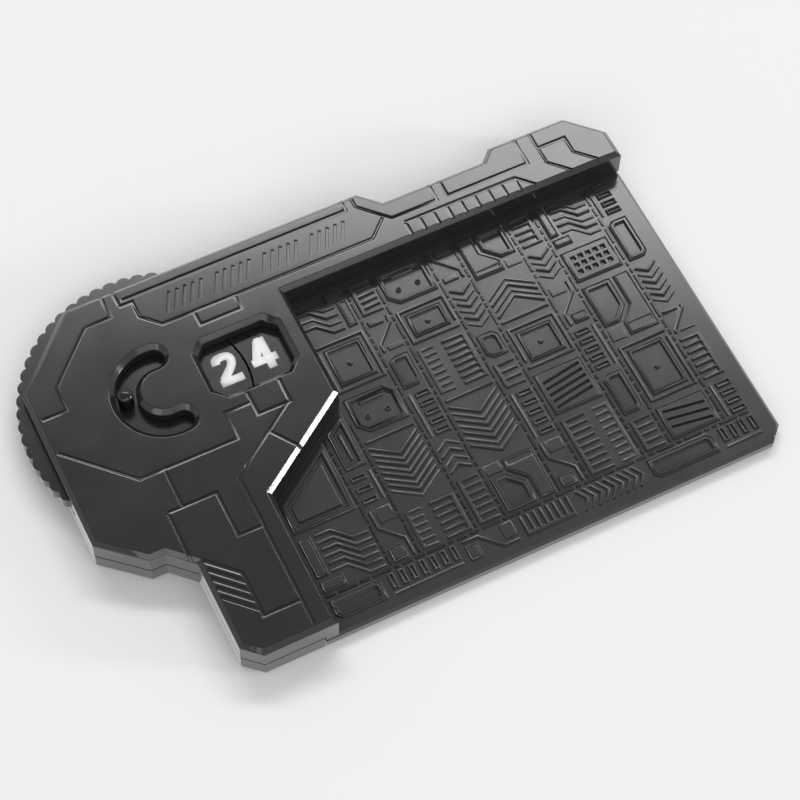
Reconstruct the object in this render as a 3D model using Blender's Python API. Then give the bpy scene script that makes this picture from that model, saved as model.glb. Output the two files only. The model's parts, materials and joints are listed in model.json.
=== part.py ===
# Damage counter pad: a card plate beside a flat housing with two concentric number dials.
# Metres, +Z up. Plan sizes are measured from the dial axis; the origin is the centre of the
# space that the pad takes up, on the surface that it stands on.

import math
import random

import bmesh
import bpy

# Card that the plate is made for, and its play there
CARD_LENGTH = 0.0880
CARD_WIDTH = 0.0630
CARD_END_PLAY = 0.00165
CARD_SIDE_PLAY = 0.00055

# Clearances
SEAT_GAP = 0.0003
TURN_GAP = 0.0002
OVERRUN = 0.0010

# Dials
DISC_RADIUS = 0.0159
RING_WIDTH = 0.0105
DIAL_THICKNESS = 0.0027
RING_EDGE_BEVEL = 0.0003
LOBE_COUNT = 60
LOBE_DEPTH = 0.0007
LOBE_FACETS = 4
TRACK_INSET = 0.0013
TRACK_WIDTH = 0.0009
TRACK_RISE = 0.0008
DIGIT_STEP_DEG = 36
UNITS_CLICK_INSET = 0.0042
TENS_CLICK_INSET = 0.0044
CLICK_NOTCH_LENGTH = 0.0028
CLICK_NOTCH_WIDTH = 0.0012
CLICK_NOTCH_DEPTH = 0.0006
HUB_RADIUS = 0.0030
HUB_SEAT_WIDTH = 0.0030
HUB_SEAT_RISE = 0.0003
DISC_POCKET_INSET = 0.0066
DISC_POCKET_WIDTH = 0.0018
DISC_POCKET_DEPTH = 0.0008
WASHER_WIDTH = 0.0023
WASHER_THICKNESS = 0.00025

# Thumb peg and its slot
PEG_ORBIT = 0.00692
PEG_RADIUS = 0.00145
PEG_PROUD = 0.0007
PEG_DOME_HEIGHT = 0.0009
PEG_SHANK_RADIUS = 0.0009
PEG_SHANK_LENGTH = 0.0018
PEG_REST_DEG = 165
PEG_SIDE_GAP = 0.000475
SLOT_HALF_SPAN_DEG = 98
SLOT_BEVEL = 0.0010
SLOT_SKIRT = 0.0009

# Number window, measured from the seam between the dials
WINDOW_INNER_REACH = 0.0077
WINDOW_OUTER_REACH = 0.0081
WINDOW_WIDTH = 0.0118
WINDOW_CORNER_CUT = 0.0021
WINDOW_BEVEL = 0.0010
WINDOW_SKIRT = 0.0009

# Heights
FOOT_PROUD = 0.0006
FLOOR_THICKNESS = 0.0014
SPRING_ROOM = 0.0011
SKIRT_LENGTH = 0.0008
DECK_THICKNESS = 0.0020
RIM_RISE = 0.0019
PLATE_THICKNESS = 0.0020

# Covers
WALL = 0.0016
EDGE_BEVEL = 0.00095
TONGUE = 0.00265
RING_SHOW_LEFT = 0.0034
RING_SHOW_BACK = 0.0037
FIELD_WALL_ROOM = 0.00135
BACK_CORNER_CUT = 0.0132
CHIN_ROOM = 0.00295
CHIN_RISE = 0.00685
CHIN_RUN = 0.0078
CHIN_LENGTH = 0.0029
SHOULDER_DROP = 0.00415
LEG_LEFT = 0.00835
LEG_RIGHT = 0.00885
LEG_TOE_LENGTH = 0.0033
LEG_TOE_WIDTH = 0.0030
KNEE_ROOM = 0.0004
KNEE_RISE = 0.0132

# Strip along the back of the card field
STRIP_FRONT = 0.00935
STRIP_STEP = 0.0038
STRIP_HUMP_RISE = 0.0023
STRIP_VALLEY_LEFT = 0.0530
STRIP_VALLEY_LENGTH = 0.0209
STRIP_END_CUT = 0.0062

# Card plate
PLATE_EDGE_BEVEL = 0.00055
PLATE_CORNER_CUT = 0.0028

# Panel lines engraved in the deck
LINE_WIDTH = 0.0006
LINE_DEPTH = 0.0004
LINE_FOOT_share = 0.3
VENT_BAR_WIDTH = 0.0010
VENT_BAR_PITCH = 0.0019
VENT_BAR_COUNT = 5
VENT_LENGTH = 0.0052
TOOTH_PITCH = 0.00285
TOOTH_COUNT = 9

# Screws, bosses and feet
SCREW_RADIUS = 0.0009
SCREW_POINT_LENGTH = 0.0010
SCREW_HEAD_RADIUS = 0.0018
SCREW_HEAD_HEIGHT = 0.0009
SCREW_SOCKET_RADIUS = 0.0008
SCREW_SOCKET_DEPTH = 0.0004
SCREW_END_GAP = 0.0004
BOSS_RADIUS = 0.0022
CORNER_INSET = 0.0055
BACK_INSET = 0.0032
LEG_INSET = 0.0040
RING_INSET = 0.0068
FOOT_RADIUS = 0.0032
FOOT_RECESS = 0.0005
FOOT_SILL = 0.0008
FOOT_INSET = 0.0100
FOOT_FRONT_INSET = 0.0072

# Click springs
SPRING_THICKNESS = 0.00025
SPRING_WIDTH = 0.0024
SPRING_PAD_RADIUS = 0.0020
SPRING_BUMP_RISE = 0.0003
SPRING_BUMP_LENGTH = 0.0010
SPRING_LIFT = 0.0003
STAKE_RADIUS = 0.0008
STAKE_HEAD_RISE = 0.0002
UNITS_SPRING_START_DEG = 216
UNITS_SPRING_SPAN_DEG = 44
TENS_SPRING_START_DEG = 215
TENS_SPRING_SPAN_DEG = 78

# Relief on the card plate
RELIEF_HEIGHT = 0.00045
RELIEF_DRAFT = 0.00022
RELIEF_SINK = 0.0003
RELIEF_POCKET_DEPTH = 0.0002
RELIEF_BAR = 0.0010
RELIEF_GAP = 0.0008
RELIEF_FRAME = 0.0013
RELIEF_PITCH = 0.0026
RELIEF_LANE = 0.00134
RELIEF_MARGIN_FRONT = 0.0024
RELIEF_MARGIN_SIDE = 0.0036
RELIEF_MARGIN_WALL = 0.0010
RELIEF_PAIR_PITCH = 0.0172
RELIEF_NARROW = 0.0043
RELIEF_WIDE_CELL = 0.0104
RELIEF_NARROW_CELL = 0.0082
RELIEF_CELL_shares = (0.75, 1.0, 1.35)
RELIEF_SEED = 11

# Facets of round pieces
ROUND_FACETS = 48
SMALL_FACETS = 16
SCREW_FACETS = 12
ARC_STEP_DEG = 9

# Dial sizes that follow
RING_BORE_RADIUS = DISC_RADIUS + SEAT_GAP
RING_RADIUS = RING_BORE_RADIUS + RING_WIDTH
TRACK_RADIUS = RING_BORE_RADIUS + TRACK_INSET
UNITS_CLICK_RADIUS = RING_RADIUS - UNITS_CLICK_INSET
TENS_CLICK_RADIUS = DISC_RADIUS - TENS_CLICK_INSET
SLOT_WIDTH = 2 * (PEG_RADIUS + PEG_SIDE_GAP)
WINDOW_LEFT = RING_BORE_RADIUS - SEAT_GAP - WINDOW_INNER_REACH
WINDOW_RIGHT = RING_BORE_RADIUS - SEAT_GAP + WINDOW_OUTER_REACH

# Body edges that follow, measured from the dial axis
BODY_LEFT = RING_RADIUS - RING_SHOW_LEFT
BODY_RIGHT = LEG_RIGHT + CARD_LENGTH + CARD_END_PLAY
BODY_FRONT = CARD_WIDTH + CARD_SIDE_PLAY - STRIP_FRONT
BODY_BACK = RING_RADIUS - RING_SHOW_BACK
FIELD_LEFT = RING_RADIUS + FIELD_WALL_ROOM
CHIN_FRONT = RING_RADIUS + CHIN_ROOM
CHIN_LEFT = BODY_LEFT - CHIN_RUN
SHOULDER_LEFT = CHIN_LEFT - CHIN_LENGTH
SHOULDER_FRONT = CHIN_FRONT + SHOULDER_DROP
KNEE_FRONT = RING_RADIUS + KNEE_ROOM
KNEE_BACK = KNEE_FRONT - KNEE_RISE
STRIP_BACK = BODY_BACK - STRIP_STEP
STRIP_HUMP_BACK = STRIP_BACK + STRIP_HUMP_RISE

# Places in the part's own frame
RING_REACH = RING_RADIUS * math.cos(math.radians(180 / LOBE_COUNT))
DIAL_X = (RING_REACH - BODY_RIGHT) / 2
DIAL_Y = (BODY_FRONT - RING_REACH) / 2
UNDERSIDE_Z = FOOT_PROUD
FLOOR_Z = UNDERSIDE_Z + FLOOR_THICKNESS
PLATE_TOP_Z = UNDERSIDE_Z + PLATE_THICKNESS
SEAM_Z = FLOOR_Z + RIM_RISE
SPRING_UNDER_Z = FLOOR_Z + SPRING_LIFT
SPRING_TOP_Z = SPRING_UNDER_Z + SPRING_THICKNESS
DIAL_UNDER_Z = FLOOR_Z + SPRING_ROOM
DIAL_TOP_Z = DIAL_UNDER_Z + DIAL_THICKNESS
SKIRT_Z = DIAL_TOP_Z + SEAT_GAP
DECK_UNDER_Z = SKIRT_Z + SKIRT_LENGTH
DECK_Z = DECK_UNDER_Z + DECK_THICKNESS

# Panel lines as (length share, width share) of the housing, the whole deck and the strip
HOUSING_LINE_shares = (
    ((0.40, 1.01), (0.40, 0.933), (0.30, 0.933), (0.12, 0.813), (0.12, 0.746), (0.027, 0.746)),
    ((0.445, 1.01), (0.445, 0.956)),
    ((0.027, 0.652), (0.24, 0.51), (0.604, 0.51), (0.604, 0.583), (0.71, 0.583)),
    ((0.71, 0.613), (0.71, 0.547), (0.832, 0.547), (0.832, 0.613)),
    ((0.826, 0.549), (0.61, 0.448), (0.549, 0.415), (0.549, 0.016)),
    ((0.715, 0.497), (0.793, 0.424)),
    ((0.331, 0.51), (0.331, 0.405)),
    ((0.275, 0.405), (0.456, 0.405), (0.456, 0.285), (0.549, 0.285)),
    ((0.275, 0.405), (0.275, 0.262)),
    ((0.411, 0.20), (0.411, 0.083), (0.549, 0.083)),
)
DECK_LINE_shares = (
    ((0.195, 0.964), (0.567, 0.964), (0.567, 1.01)),
    ((0.187, 0.95), (0.208, 0.95), (0.208, 0.904), (0.234, 0.863), (0.583, 0.863), (0.613, 0.908)),
    ((0.285, 0.863), (0.285, 0.823), (0.351, 0.823), (0.351, 0.863)),
)
STRIP_LINE_shares = (
    ((0.278, 1.06), (0.278, 0.795), (0.351, 0.414), (0.485, 0.414), (0.485, 0.795)),
    ((0.516, 0.795), (0.516, 0.414), (0.757, 0.414), (0.757, 0.97)),
    ((0.803, 0.97), (0.803, 0.31), (0.855, 0.04)),
    ((0.803, 0.575), (0.884, 0.575), (0.884, 0.31), (0.936, 0.04)),
    ((0.377, 0.275), (0.702, 0.275), (0.746, 0.048)),
)
TOOTH_START_share = 0.377
TOOTH_REACH_shares = (0.04, 0.275)

# Screw places as shares of the strip
STRIP_SCREW_shares = ((0.07, 0.487), (0.411, 0.363), (0.922, 0.4))


def clear_scene():
    """Remove every object of the open scene."""
    for item in list(bpy.data.objects):
        bpy.data.objects.remove(item, do_unlink=True)


def material(name, colour, roughness, metallic=0.0):
    """Return a Principled material."""
    surface = bpy.data.materials.new(name)
    surface.use_nodes = True
    shader = surface.node_tree.nodes["Principled BSDF"]
    shader.inputs["Base Color"].default_value = (*colour, 1.0)
    shader.inputs["Roughness"].default_value = roughness
    shader.inputs["Metallic"].default_value = metallic
    return surface


def new_object(name, mesh_data, collection, origin):
    """Wrap mesh data in an object that hangs on the dial axis."""
    item = bpy.data.objects.new(name, mesh_data)
    collection.objects.link(item)
    item.parent = origin
    return item


def polar(radius, degrees):
    """Return the point at a radius and an angle."""
    angle = math.radians(degrees)
    return (radius * math.cos(angle), radius * math.sin(angle))


def mitre(before, corner, after, distance):
    """Return the corner moved inwards so that both its edges move by the distance."""
    normals = []
    for start, end in ((before, corner), (corner, after)):
        run = (end[0] - start[0], end[1] - start[1])
        size = math.hypot(*run)
        normals.append((-run[1] / size, run[0] / size))
    total = (normals[0][0] + normals[1][0], normals[0][1] + normals[1][1])
    scale = distance * 2 / (total[0] ** 2 + total[1] ** 2)
    return (corner[0] + total[0] * scale, corner[1] + total[1] * scale)


def inset(outline, distance):
    """Return a counter-clockwise outline moved inwards, or outwards if negative."""
    count = len(outline)
    return [
        mitre(outline[k - 1], outline[k], outline[(k + 1) % count], distance)
        for k in range(count)
    ]


def loft(name, sections):
    """Return mesh data that joins outlines of equal length, given from low to high."""
    shape = bmesh.new()
    rings = [[shape.verts.new((x, y, z)) for x, y in outline] for outline, z in sections]
    shape.faces.new(list(reversed(rings[0])))
    shape.faces.new(rings[-1])
    count = len(rings[0])
    for low, high in zip(rings, rings[1:]):
        for k in range(count):
            after = (k + 1) % count
            shape.faces.new((low[k], low[after], high[after], high[k]))
    bmesh.ops.recalc_face_normals(shape, faces=shape.faces)
    data = bpy.data.meshes.new(name)
    shape.to_mesh(data)
    shape.free()
    return data


def prism(name, outline, low, high):
    """Return mesh data of an outline extruded between two heights."""
    return loft(name, [(outline, low), (outline, high)])


def bevelled(name, outline, low, high, bevel):
    """Return mesh data of a prism whose upper edge is cut at 45 degrees."""
    return loft(name, [(outline, low), (outline, high - bevel), (inset(outline, bevel), high)])


def circle(centre, radius, facets):
    """Return a round outline."""
    points = [polar(radius, 360 * k / facets) for k in range(facets)]
    return [(centre[0] + x, centre[1] + y) for x, y in points]


def spun(name, profile, facets):
    """Return mesh data of a closed (radius, height) profile turned about the Z axis."""
    shape = bmesh.new()
    points = [shape.verts.new((radius, 0, z)) for radius, z in profile]
    count = len(points)
    edges = [shape.edges.new((points[k], points[(k + 1) % count])) for k in range(count)]
    bmesh.ops.spin(
        shape, geom=points + edges, cent=(0, 0, 0), axis=(0, 0, 1),
        angle=math.tau, steps=facets, use_merge=True,
    )
    bmesh.ops.recalc_face_normals(shape, faces=shape.faces)
    data = bpy.data.meshes.new(name)
    shape.to_mesh(data)
    shape.free()
    return data


def smooth(item, angle=40):
    """Shade the round faces of an object smooth."""
    item.data.shade_smooth()
    item.data.set_sharp_from_angle(angle=math.radians(angle))


def combine(target, operation, cutters, origin):
    """Cut or join hidden helper shapes with one Boolean modifier."""
    group = bpy.data.collections.new(f"{target.name}_{operation.lower()}_{len(target.modifiers)}")
    bpy.context.scene.collection.children.link(group)
    for k, data in enumerate(cutters):
        helper = new_object(f"{group.name}_{k}", data, group, origin)
        helper.hide_render = True
        helper.display_type = "WIRE"
    step = target.modifiers.new(group.name, "BOOLEAN")
    step.operation = operation
    step.solver = "EXACT"
    step.operand_type = "COLLECTION"
    step.collection = group


def cut(target, cutters, origin):
    """Take shapes away from a piece."""
    combine(target, "DIFFERENCE", cutters, origin)


def join(target, parts, origin):
    """Add shapes to a piece."""
    combine(target, "UNION", parts, origin)


def share_points(shares, left, front, length, width):
    """Place (length share, width share) pairs in a rectangle of the plan."""
    return [(left + u * length, front + v * width) for u, v in shares]


def deck_points(shares):
    """Place shares over the whole deck."""
    return share_points(
        shares, -BODY_LEFT, -BODY_FRONT, BODY_LEFT + BODY_RIGHT, BODY_FRONT + BODY_BACK
    )


def housing_points(shares):
    """Place shares over the housing, left of the card field."""
    return share_points(
        shares, -BODY_LEFT, -BODY_FRONT, BODY_LEFT + FIELD_LEFT, BODY_FRONT + BODY_BACK
    )


def strip_points(shares):
    """Place shares over the strip behind the card field."""
    return share_points(
        shares, FIELD_LEFT, STRIP_FRONT, BODY_RIGHT - FIELD_LEFT, BODY_BACK - STRIP_FRONT
    )


def back_edge():
    """Return the back of the strip from its right end to the housing's back edge."""
    valley_right = STRIP_VALLEY_LEFT + STRIP_VALLEY_LENGTH
    rise = BODY_BACK - STRIP_BACK
    return [
        (BODY_RIGHT, STRIP_HUMP_BACK - STRIP_END_CUT),
        (BODY_RIGHT - STRIP_END_CUT, STRIP_HUMP_BACK),
        (valley_right + STRIP_HUMP_RISE, STRIP_HUMP_BACK),
        (valley_right, STRIP_BACK),
        (STRIP_VALLEY_LEFT, STRIP_BACK),
        (STRIP_VALLEY_LEFT - rise, BODY_BACK),
    ]


def housing_edge():
    """Return the housing's free edge from its back, round the left, to the leg's toe."""
    return [
        (BACK_CORNER_CUT - BODY_LEFT, BODY_BACK),
        (-BODY_LEFT, BODY_BACK - BACK_CORNER_CUT),
        (-BODY_LEFT, CHIN_RISE - CHIN_FRONT),
        (-CHIN_LEFT, -CHIN_FRONT),
        (-SHOULDER_LEFT, -CHIN_FRONT),
        (-LEG_LEFT, -SHOULDER_FRONT),
        (-LEG_LEFT, LEG_TOE_WIDTH - BODY_FRONT),
        (LEG_TOE_LENGTH - LEG_LEFT, -BODY_FRONT),
    ]


def field_wall(distance):
    """Return the wall that faces the card field, moved into the housing by a distance."""
    leg = (LEG_RIGHT, -BODY_FRONT)
    knee_front = (LEG_RIGHT, -KNEE_FRONT)
    knee_back = (FIELD_LEFT, -KNEE_BACK)
    corner = (FIELD_LEFT, STRIP_FRONT)
    return [
        (LEG_RIGHT - distance, -BODY_FRONT),
        mitre(leg, knee_front, knee_back, distance),
        mitre(knee_front, knee_back, corner, distance),
    ]


def top_outline():
    """Return the outline of the top cover."""
    field = field_wall(0) + [(FIELD_LEFT, STRIP_FRONT), (BODY_RIGHT, STRIP_FRONT)]
    return housing_edge() + field + back_edge()


def bottom_outline():
    """Return the outline of the bottom cover, which stops beside the plate's tongue."""
    return housing_edge() + field_wall(TONGUE) + [(FIELD_LEFT - TONGUE, BODY_BACK)]


def plate_outline():
    """Return the outline of the card plate with its tongue under the top cover."""
    tongue = TONGUE - SEAT_GAP
    front = [
        (BODY_RIGHT - PLATE_CORNER_CUT, -BODY_FRONT),
        (BODY_RIGHT, PLATE_CORNER_CUT - BODY_FRONT),
    ]
    wall = field_wall(tongue)
    end = [(FIELD_LEFT - tongue, BODY_BACK)]
    return wall[:1] + front + back_edge() + end + wall[:0:-1]


def window_outline(grow):
    """Return the octagonal number window, grown by a distance."""
    left = WINDOW_LEFT
    right = WINDOW_RIGHT
    half = WINDOW_WIDTH / 2
    nip = WINDOW_CORNER_CUT
    outline = [
        (left + nip, -half), (right - nip, -half), (right, nip - half), (right, half - nip),
        (right - nip, half), (left + nip, half), (left, half - nip), (left, nip - half),
    ]
    return inset(outline, -grow)


def slot_outline(grow):
    """Return the peg's C-shaped slot with round ends, grown by a distance."""
    half = SLOT_WIDTH / 2 + grow
    start = 180 - SLOT_HALF_SPAN_DEG
    span = 2 * SLOT_HALF_SPAN_DEG
    steps = round(span / ARC_STEP_DEG)
    cap_steps = round(180 / (2 * ARC_STEP_DEG))
    outer = [polar(PEG_ORBIT + half, start + span * k / steps) for k in range(steps + 1)]
    inner = [polar(PEG_ORBIT - half, start + span * k / steps) for k in range(steps, -1, -1)]
    return (
        outer + arc_cap(PEG_ORBIT, start + span, half, 0, cap_steps)
        + inner + arc_cap(PEG_ORBIT, start, half, 180, cap_steps)
    )


def arc_cap(orbit, degrees, radius, turn, steps):
    """Return the inner points of a half circle that closes an arc-shaped outline."""
    centre = polar(orbit, degrees)
    angles = [degrees + turn + 180 * k / steps for k in range(1, steps)]
    points = [polar(radius, angle) for angle in angles]
    return [(centre[0] + x, centre[1] + y) for x, y in points]


def lobe_outline(outer, facets):
    """Return the ring's scalloped edge: round lobes that meet in sharp valleys."""
    pitch = 360 / LOBE_COUNT
    half_chord = (outer - LOBE_DEPTH) * math.sin(math.radians(pitch / 2))
    lobe_radius = (half_chord ** 2 + LOBE_DEPTH ** 2) / (2 * LOBE_DEPTH)
    orbit = outer - lobe_radius
    points = []
    for lobe in range(LOBE_COUNT):
        for k in range(facets):
            angle = math.radians(pitch * (k / facets - 0.5))
            reach = orbit * math.cos(angle)
            reach += math.sqrt(lobe_radius ** 2 - (orbit * math.sin(angle)) ** 2)
            points.append(polar(reach, pitch * (lobe + k / facets)))
    return points


def ribbon(path, width):
    """Return the outline of a line of even width through the points of a path."""
    half = width / 2
    ends = [path[0]] + list(path) + [path[-1]]
    sides = ([], [])
    for k, corner in enumerate(path):
        for side, offset in zip(sides, (-half, half)):
            if k in (0, len(path) - 1):
                start, end = (path[k], path[k + 1]) if k == 0 else (path[k - 1], path[k])
                run = (end[0] - start[0], end[1] - start[1])
                size = math.hypot(*run)
                side.append((corner[0] - run[1] / size * offset, corner[1] + run[0] / size * offset))
            else:
                side.append(mitre(ends[k], corner, ends[k + 2], offset))
    return sides[0] + sides[1][::-1]


def groove(name, path, width):
    """Return a cutter for a groove with sloping sides along a path on the deck."""
    foot = ribbon(path, width * LINE_FOOT_share)
    mouth = ribbon(path, width)
    return loft(name, [(foot, DECK_Z - LINE_DEPTH), (mouth, DECK_Z), (mouth, DECK_Z + OVERRUN)])


def panel_lines():
    """Return the cutters of every engraved line, vent bar and tooth on the deck."""
    paths = [deck_points(line) for line in DECK_LINE_shares]
    paths += [housing_points(line) for line in HOUSING_LINE_shares]
    paths += [strip_points(line) for line in STRIP_LINE_shares]
    for k in range(TOOTH_COUNT):
        foot, head = strip_points([(TOOTH_START_share, v) for v in TOOTH_REACH_shares])
        shift = TOOTH_PITCH * k
        paths.append([(foot[0] + shift, foot[1]), (head[0] + shift, head[1])])
    cutters = [groove(f"line_{k}", path, LINE_WIDTH) for k, path in enumerate(paths)]
    for k in range(VENT_BAR_COUNT):
        start = (EDGE_BEVEL - LEG_LEFT, -SHOULDER_FRONT - VENT_BAR_PITCH * k)
        end = (start[0] + VENT_LENGTH, start[1] - VENT_LENGTH)
        cutters.append(groove(f"vent_{k}", [start, end], VENT_BAR_WIDTH))
    return cutters


def sweep_cutter(name, low, high):
    """Return the round space that the scalloped ring turns in."""
    radius = RING_RADIUS + SEAT_GAP
    return prism(name, circle((0, 0), radius, 2 * ROUND_FACETS), low, high)


def build_top_cover(parts, origin):
    """Model the top cover: deck, walls, number window, peg slot, bosses and panel lines."""
    outline = top_outline()
    low = PLATE_TOP_Z + SEAT_GAP
    cover = new_object("top_cover", bevelled("top_cover", outline, low, DECK_Z, EDGE_BEVEL),
                       parts, origin)
    hollow = prism("hollow", inset(outline, WALL), low - OVERRUN, DECK_UNDER_Z)
    seat_outline = inset(bottom_outline(), -SEAT_GAP)
    seat = prism("seat", seat_outline, low - OVERRUN, SEAM_Z + SEAT_GAP)
    sweep = sweep_cutter("sweep", low - OVERRUN, SKIRT_Z)
    cut(cover, [hollow, seat], origin)
    join(cover, cover_bosses(), origin)
    cut(cover, [sweep] + cover_openings(), origin)
    cut(cover, panel_lines(), origin)
    return cover


def housing_screw_places():
    """Return the places of the four screws in the housing's corners and its leg."""
    return [
        (CORNER_INSET - BODY_LEFT, CORNER_INSET - CHIN_FRONT),
        (LEG_INSET - LEG_LEFT, LEG_INSET - BODY_FRONT),
        (LEG_INSET - LEG_LEFT, -RING_RADIUS - RING_INSET),
        (FIELD_LEFT - CORNER_INSET, BODY_BACK - BACK_INSET),
    ]


def housing_foot_places():
    """Return the places of the two feet under the housing."""
    leg_edge = LEG_RIGHT - TONGUE - FOOT_SILL - SEAT_GAP
    return [
        (FOOT_INSET - BODY_LEFT, BODY_BACK - FOOT_INSET),
        (leg_edge - FOOT_RADIUS, FOOT_FRONT_INSET - BODY_FRONT),
    ]


def plate_foot_places():
    """Return the places of the two feet under the plate's free end."""
    return [
        (BODY_RIGHT - FOOT_FRONT_INSET, FOOT_FRONT_INSET - BODY_FRONT),
        (BODY_RIGHT - STRIP_END_CUT - FOOT_INSET, STRIP_FRONT + FOOT_SILL),
    ]


def cover_bosses():
    """Return the screw bosses, the hub boss and the skirts round the window and the slot."""
    buried = DECK_Z - DECK_THICKNESS / 2
    shapes = []
    for k, centre in enumerate(housing_screw_places()):
        ring = circle(centre, BOSS_RADIUS, SCREW_FACETS)
        shapes.append(prism(f"housing_boss_{k}", ring, SEAM_Z + SEAT_GAP, buried))
    for k, centre in enumerate(strip_points(STRIP_SCREW_shares)):
        ring = circle(centre, BOSS_RADIUS, SCREW_FACETS)
        shapes.append(prism(f"strip_boss_{k}", ring, PLATE_TOP_Z + SEAT_GAP, buried))
    hub = circle((0, 0), HUB_RADIUS, SMALL_FACETS)
    shapes.append(prism("hub_boss", hub, SKIRT_Z, buried))
    shapes.append(prism("window_skirt", window_outline(WINDOW_SKIRT), SKIRT_Z, buried))
    shapes.append(prism("slot_skirt", slot_outline(SLOT_SKIRT), SKIRT_Z, buried))
    return shapes


def bevelled_opening(name, outline_at, bevel):
    """Return a cutter for an opening whose rim on the deck is cut at 45 degrees."""
    return loft(name, [
        (outline_at(0), SKIRT_Z - OVERRUN),
        (outline_at(0), DECK_Z - bevel),
        (outline_at(bevel), DECK_Z),
        (outline_at(bevel), DECK_Z + OVERRUN),
    ])


def cover_openings():
    """Return the cutters of the window, the slot and the blind screw holes."""
    shapes = [
        bevelled_opening("window", window_outline, WINDOW_BEVEL),
        bevelled_opening("slot", slot_outline, SLOT_BEVEL),
    ]
    hole = SCREW_RADIUS + TURN_GAP
    top = screw_top() + SCREW_END_GAP
    for k, centre in enumerate(housing_screw_places()):
        shapes.append(prism(f"hole_{k}", circle(centre, hole, SCREW_FACETS), SEAM_Z, top))
    for k, centre in enumerate(strip_points(STRIP_SCREW_shares)):
        shapes.append(prism(f"strip_hole_{k}", circle(centre, hole, SCREW_FACETS), UNDERSIDE_Z, top))
    shapes.append(prism("hub_hole", circle((0, 0), hole, SCREW_FACETS), FLOOR_Z, top))
    return shapes


def screw_top():
    """Return the height of every screw's point, inside the deck."""
    return DECK_UNDER_Z + DECK_THICKNESS / 4


def head_seat():
    """Return the height under which a screw head sits in its well."""
    return UNDERSIDE_Z + SCREW_HEAD_HEIGHT


def screw_wells(name, centres, high):
    """Return the cutters of a sunk head and a clearance hole for each screw."""
    shapes = []
    for k, centre in enumerate(centres):
        well = circle(centre, SCREW_HEAD_RADIUS + SEAT_GAP, SCREW_FACETS)
        bore = circle(centre, SCREW_RADIUS + TURN_GAP, SCREW_FACETS)
        sill = head_seat() + SEAT_GAP / 2
        shapes.append(prism(f"{name}_well_{k}", well, UNDERSIDE_Z - OVERRUN, sill))
        shapes.append(prism(f"{name}_bore_{k}", bore, sill - SEAT_GAP / 2, high + OVERRUN))
    return shapes


def foot_recesses(name, centres):
    """Return the shallow round recesses that the feet are stuck in."""
    ring_size = FOOT_RADIUS + SEAT_GAP
    return [
        prism(f"{name}_{k}", circle(centre, ring_size, 2 * SMALL_FACETS),
              UNDERSIDE_Z - OVERRUN, UNDERSIDE_Z + FOOT_RECESS)
        for k, centre in enumerate(centres)
    ]


def build_bottom_cover(parts, origin):
    """Model the bottom cover: floor, rim, hub post, ring track, bosses and spring stakes."""
    outline = bottom_outline()
    cover = new_object("bottom_cover", prism("bottom_cover", outline, UNDERSIDE_Z, SEAM_Z),
                       parts, origin)
    hollow = prism("hollow", inset(outline, WALL), FLOOR_Z, SEAM_Z + OVERRUN)
    sweep = sweep_cutter("sweep", DIAL_UNDER_Z - SEAT_GAP, SEAM_Z + OVERRUN)
    buried = UNDERSIDE_Z + FLOOR_THICKNESS / 2
    places = housing_screw_places()
    bosses = [
        prism(f"boss_{k}", circle(centre, BOSS_RADIUS, SCREW_FACETS), buried, SEAM_Z)
        for k, centre in enumerate(places)
    ]
    cut(cover, [hollow], origin)
    join(cover, bosses, origin)
    cut(cover, [sweep], origin)
    join(cover, dial_seats(buried), origin)
    wells = screw_wells("case", places, SEAM_Z) + screw_wells("hub", [(0, 0)], DIAL_TOP_Z)
    cut(cover, wells + foot_recesses("foot", housing_foot_places()), origin)
    return cover


def dial_seats(low):
    """Return the hub seat, the hub post, the ring's track and the springs' stakes."""
    seat = circle((0, 0), HUB_RADIUS + HUB_SEAT_WIDTH, 2 * SMALL_FACETS)
    post = circle((0, 0), HUB_RADIUS, 2 * SMALL_FACETS)
    shapes = [
        prism("hub_seat", seat, low, FLOOR_Z + HUB_SEAT_RISE),
        prism("hub_post", post, low, DIAL_TOP_Z),
        spun("track", track_profile(low), ROUND_FACETS),
    ]
    for k, centre in enumerate((units_stake(), tens_stake())):
        stake = circle(centre, STAKE_RADIUS, SMALL_FACETS)
        shapes.append(prism(f"stake_{k}", stake, low, SPRING_TOP_Z + STAKE_HEAD_RISE))
    return shapes


def track_profile(low):
    """Return the section of the round rib that keeps the ring central."""
    inner = TRACK_RADIUS - TRACK_WIDTH / 2
    outer = TRACK_RADIUS + TRACK_WIDTH / 2
    high = DIAL_UNDER_Z + TRACK_RISE
    return [(inner, low), (outer, low), (outer, high), (inner, high)]


def build_card_plate(parts, origin):
    """Model the card plate with its tongue, screw wells and raised relief."""
    outline = plate_outline()
    data = bevelled("card_plate", outline, UNDERSIDE_Z, PLATE_TOP_Z, PLATE_EDGE_BEVEL)
    plate = new_object("card_plate", data, parts, origin)
    wells = screw_wells("plate", strip_points(STRIP_SCREW_shares), PLATE_TOP_Z)
    cut(plate, wells + foot_recesses("plate_foot", plate_foot_places()), origin)
    raised, sunk = relief_outlines()
    join(plate, relief_blocks(raised), origin)
    cut(plate, relief_pockets(sunk), origin)
    return plate


def rectangle(left, front, length, width):
    """Return a rectangular outline."""
    return [(left, front), (left + length, front), (left + length, front + width),
            (left, front + width)]


def clipped(left, front, length, width, clip):
    """Return a rectangle whose front left and back right corners are cut at 45 degrees."""
    right = left + length
    back = front + width
    return [(left + clip, front), (right, front), (right, back - clip), (right - clip, back),
            (left, back), (left, front + clip)]


def spaced(room):
    """Return places from zero to the end of a room, evenly spaced by a pitch or more."""
    count = math.floor(room / RELIEF_PITCH)
    return [room * k / count for k in range(count + 1)] if count > 0 else [room / 2]


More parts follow.
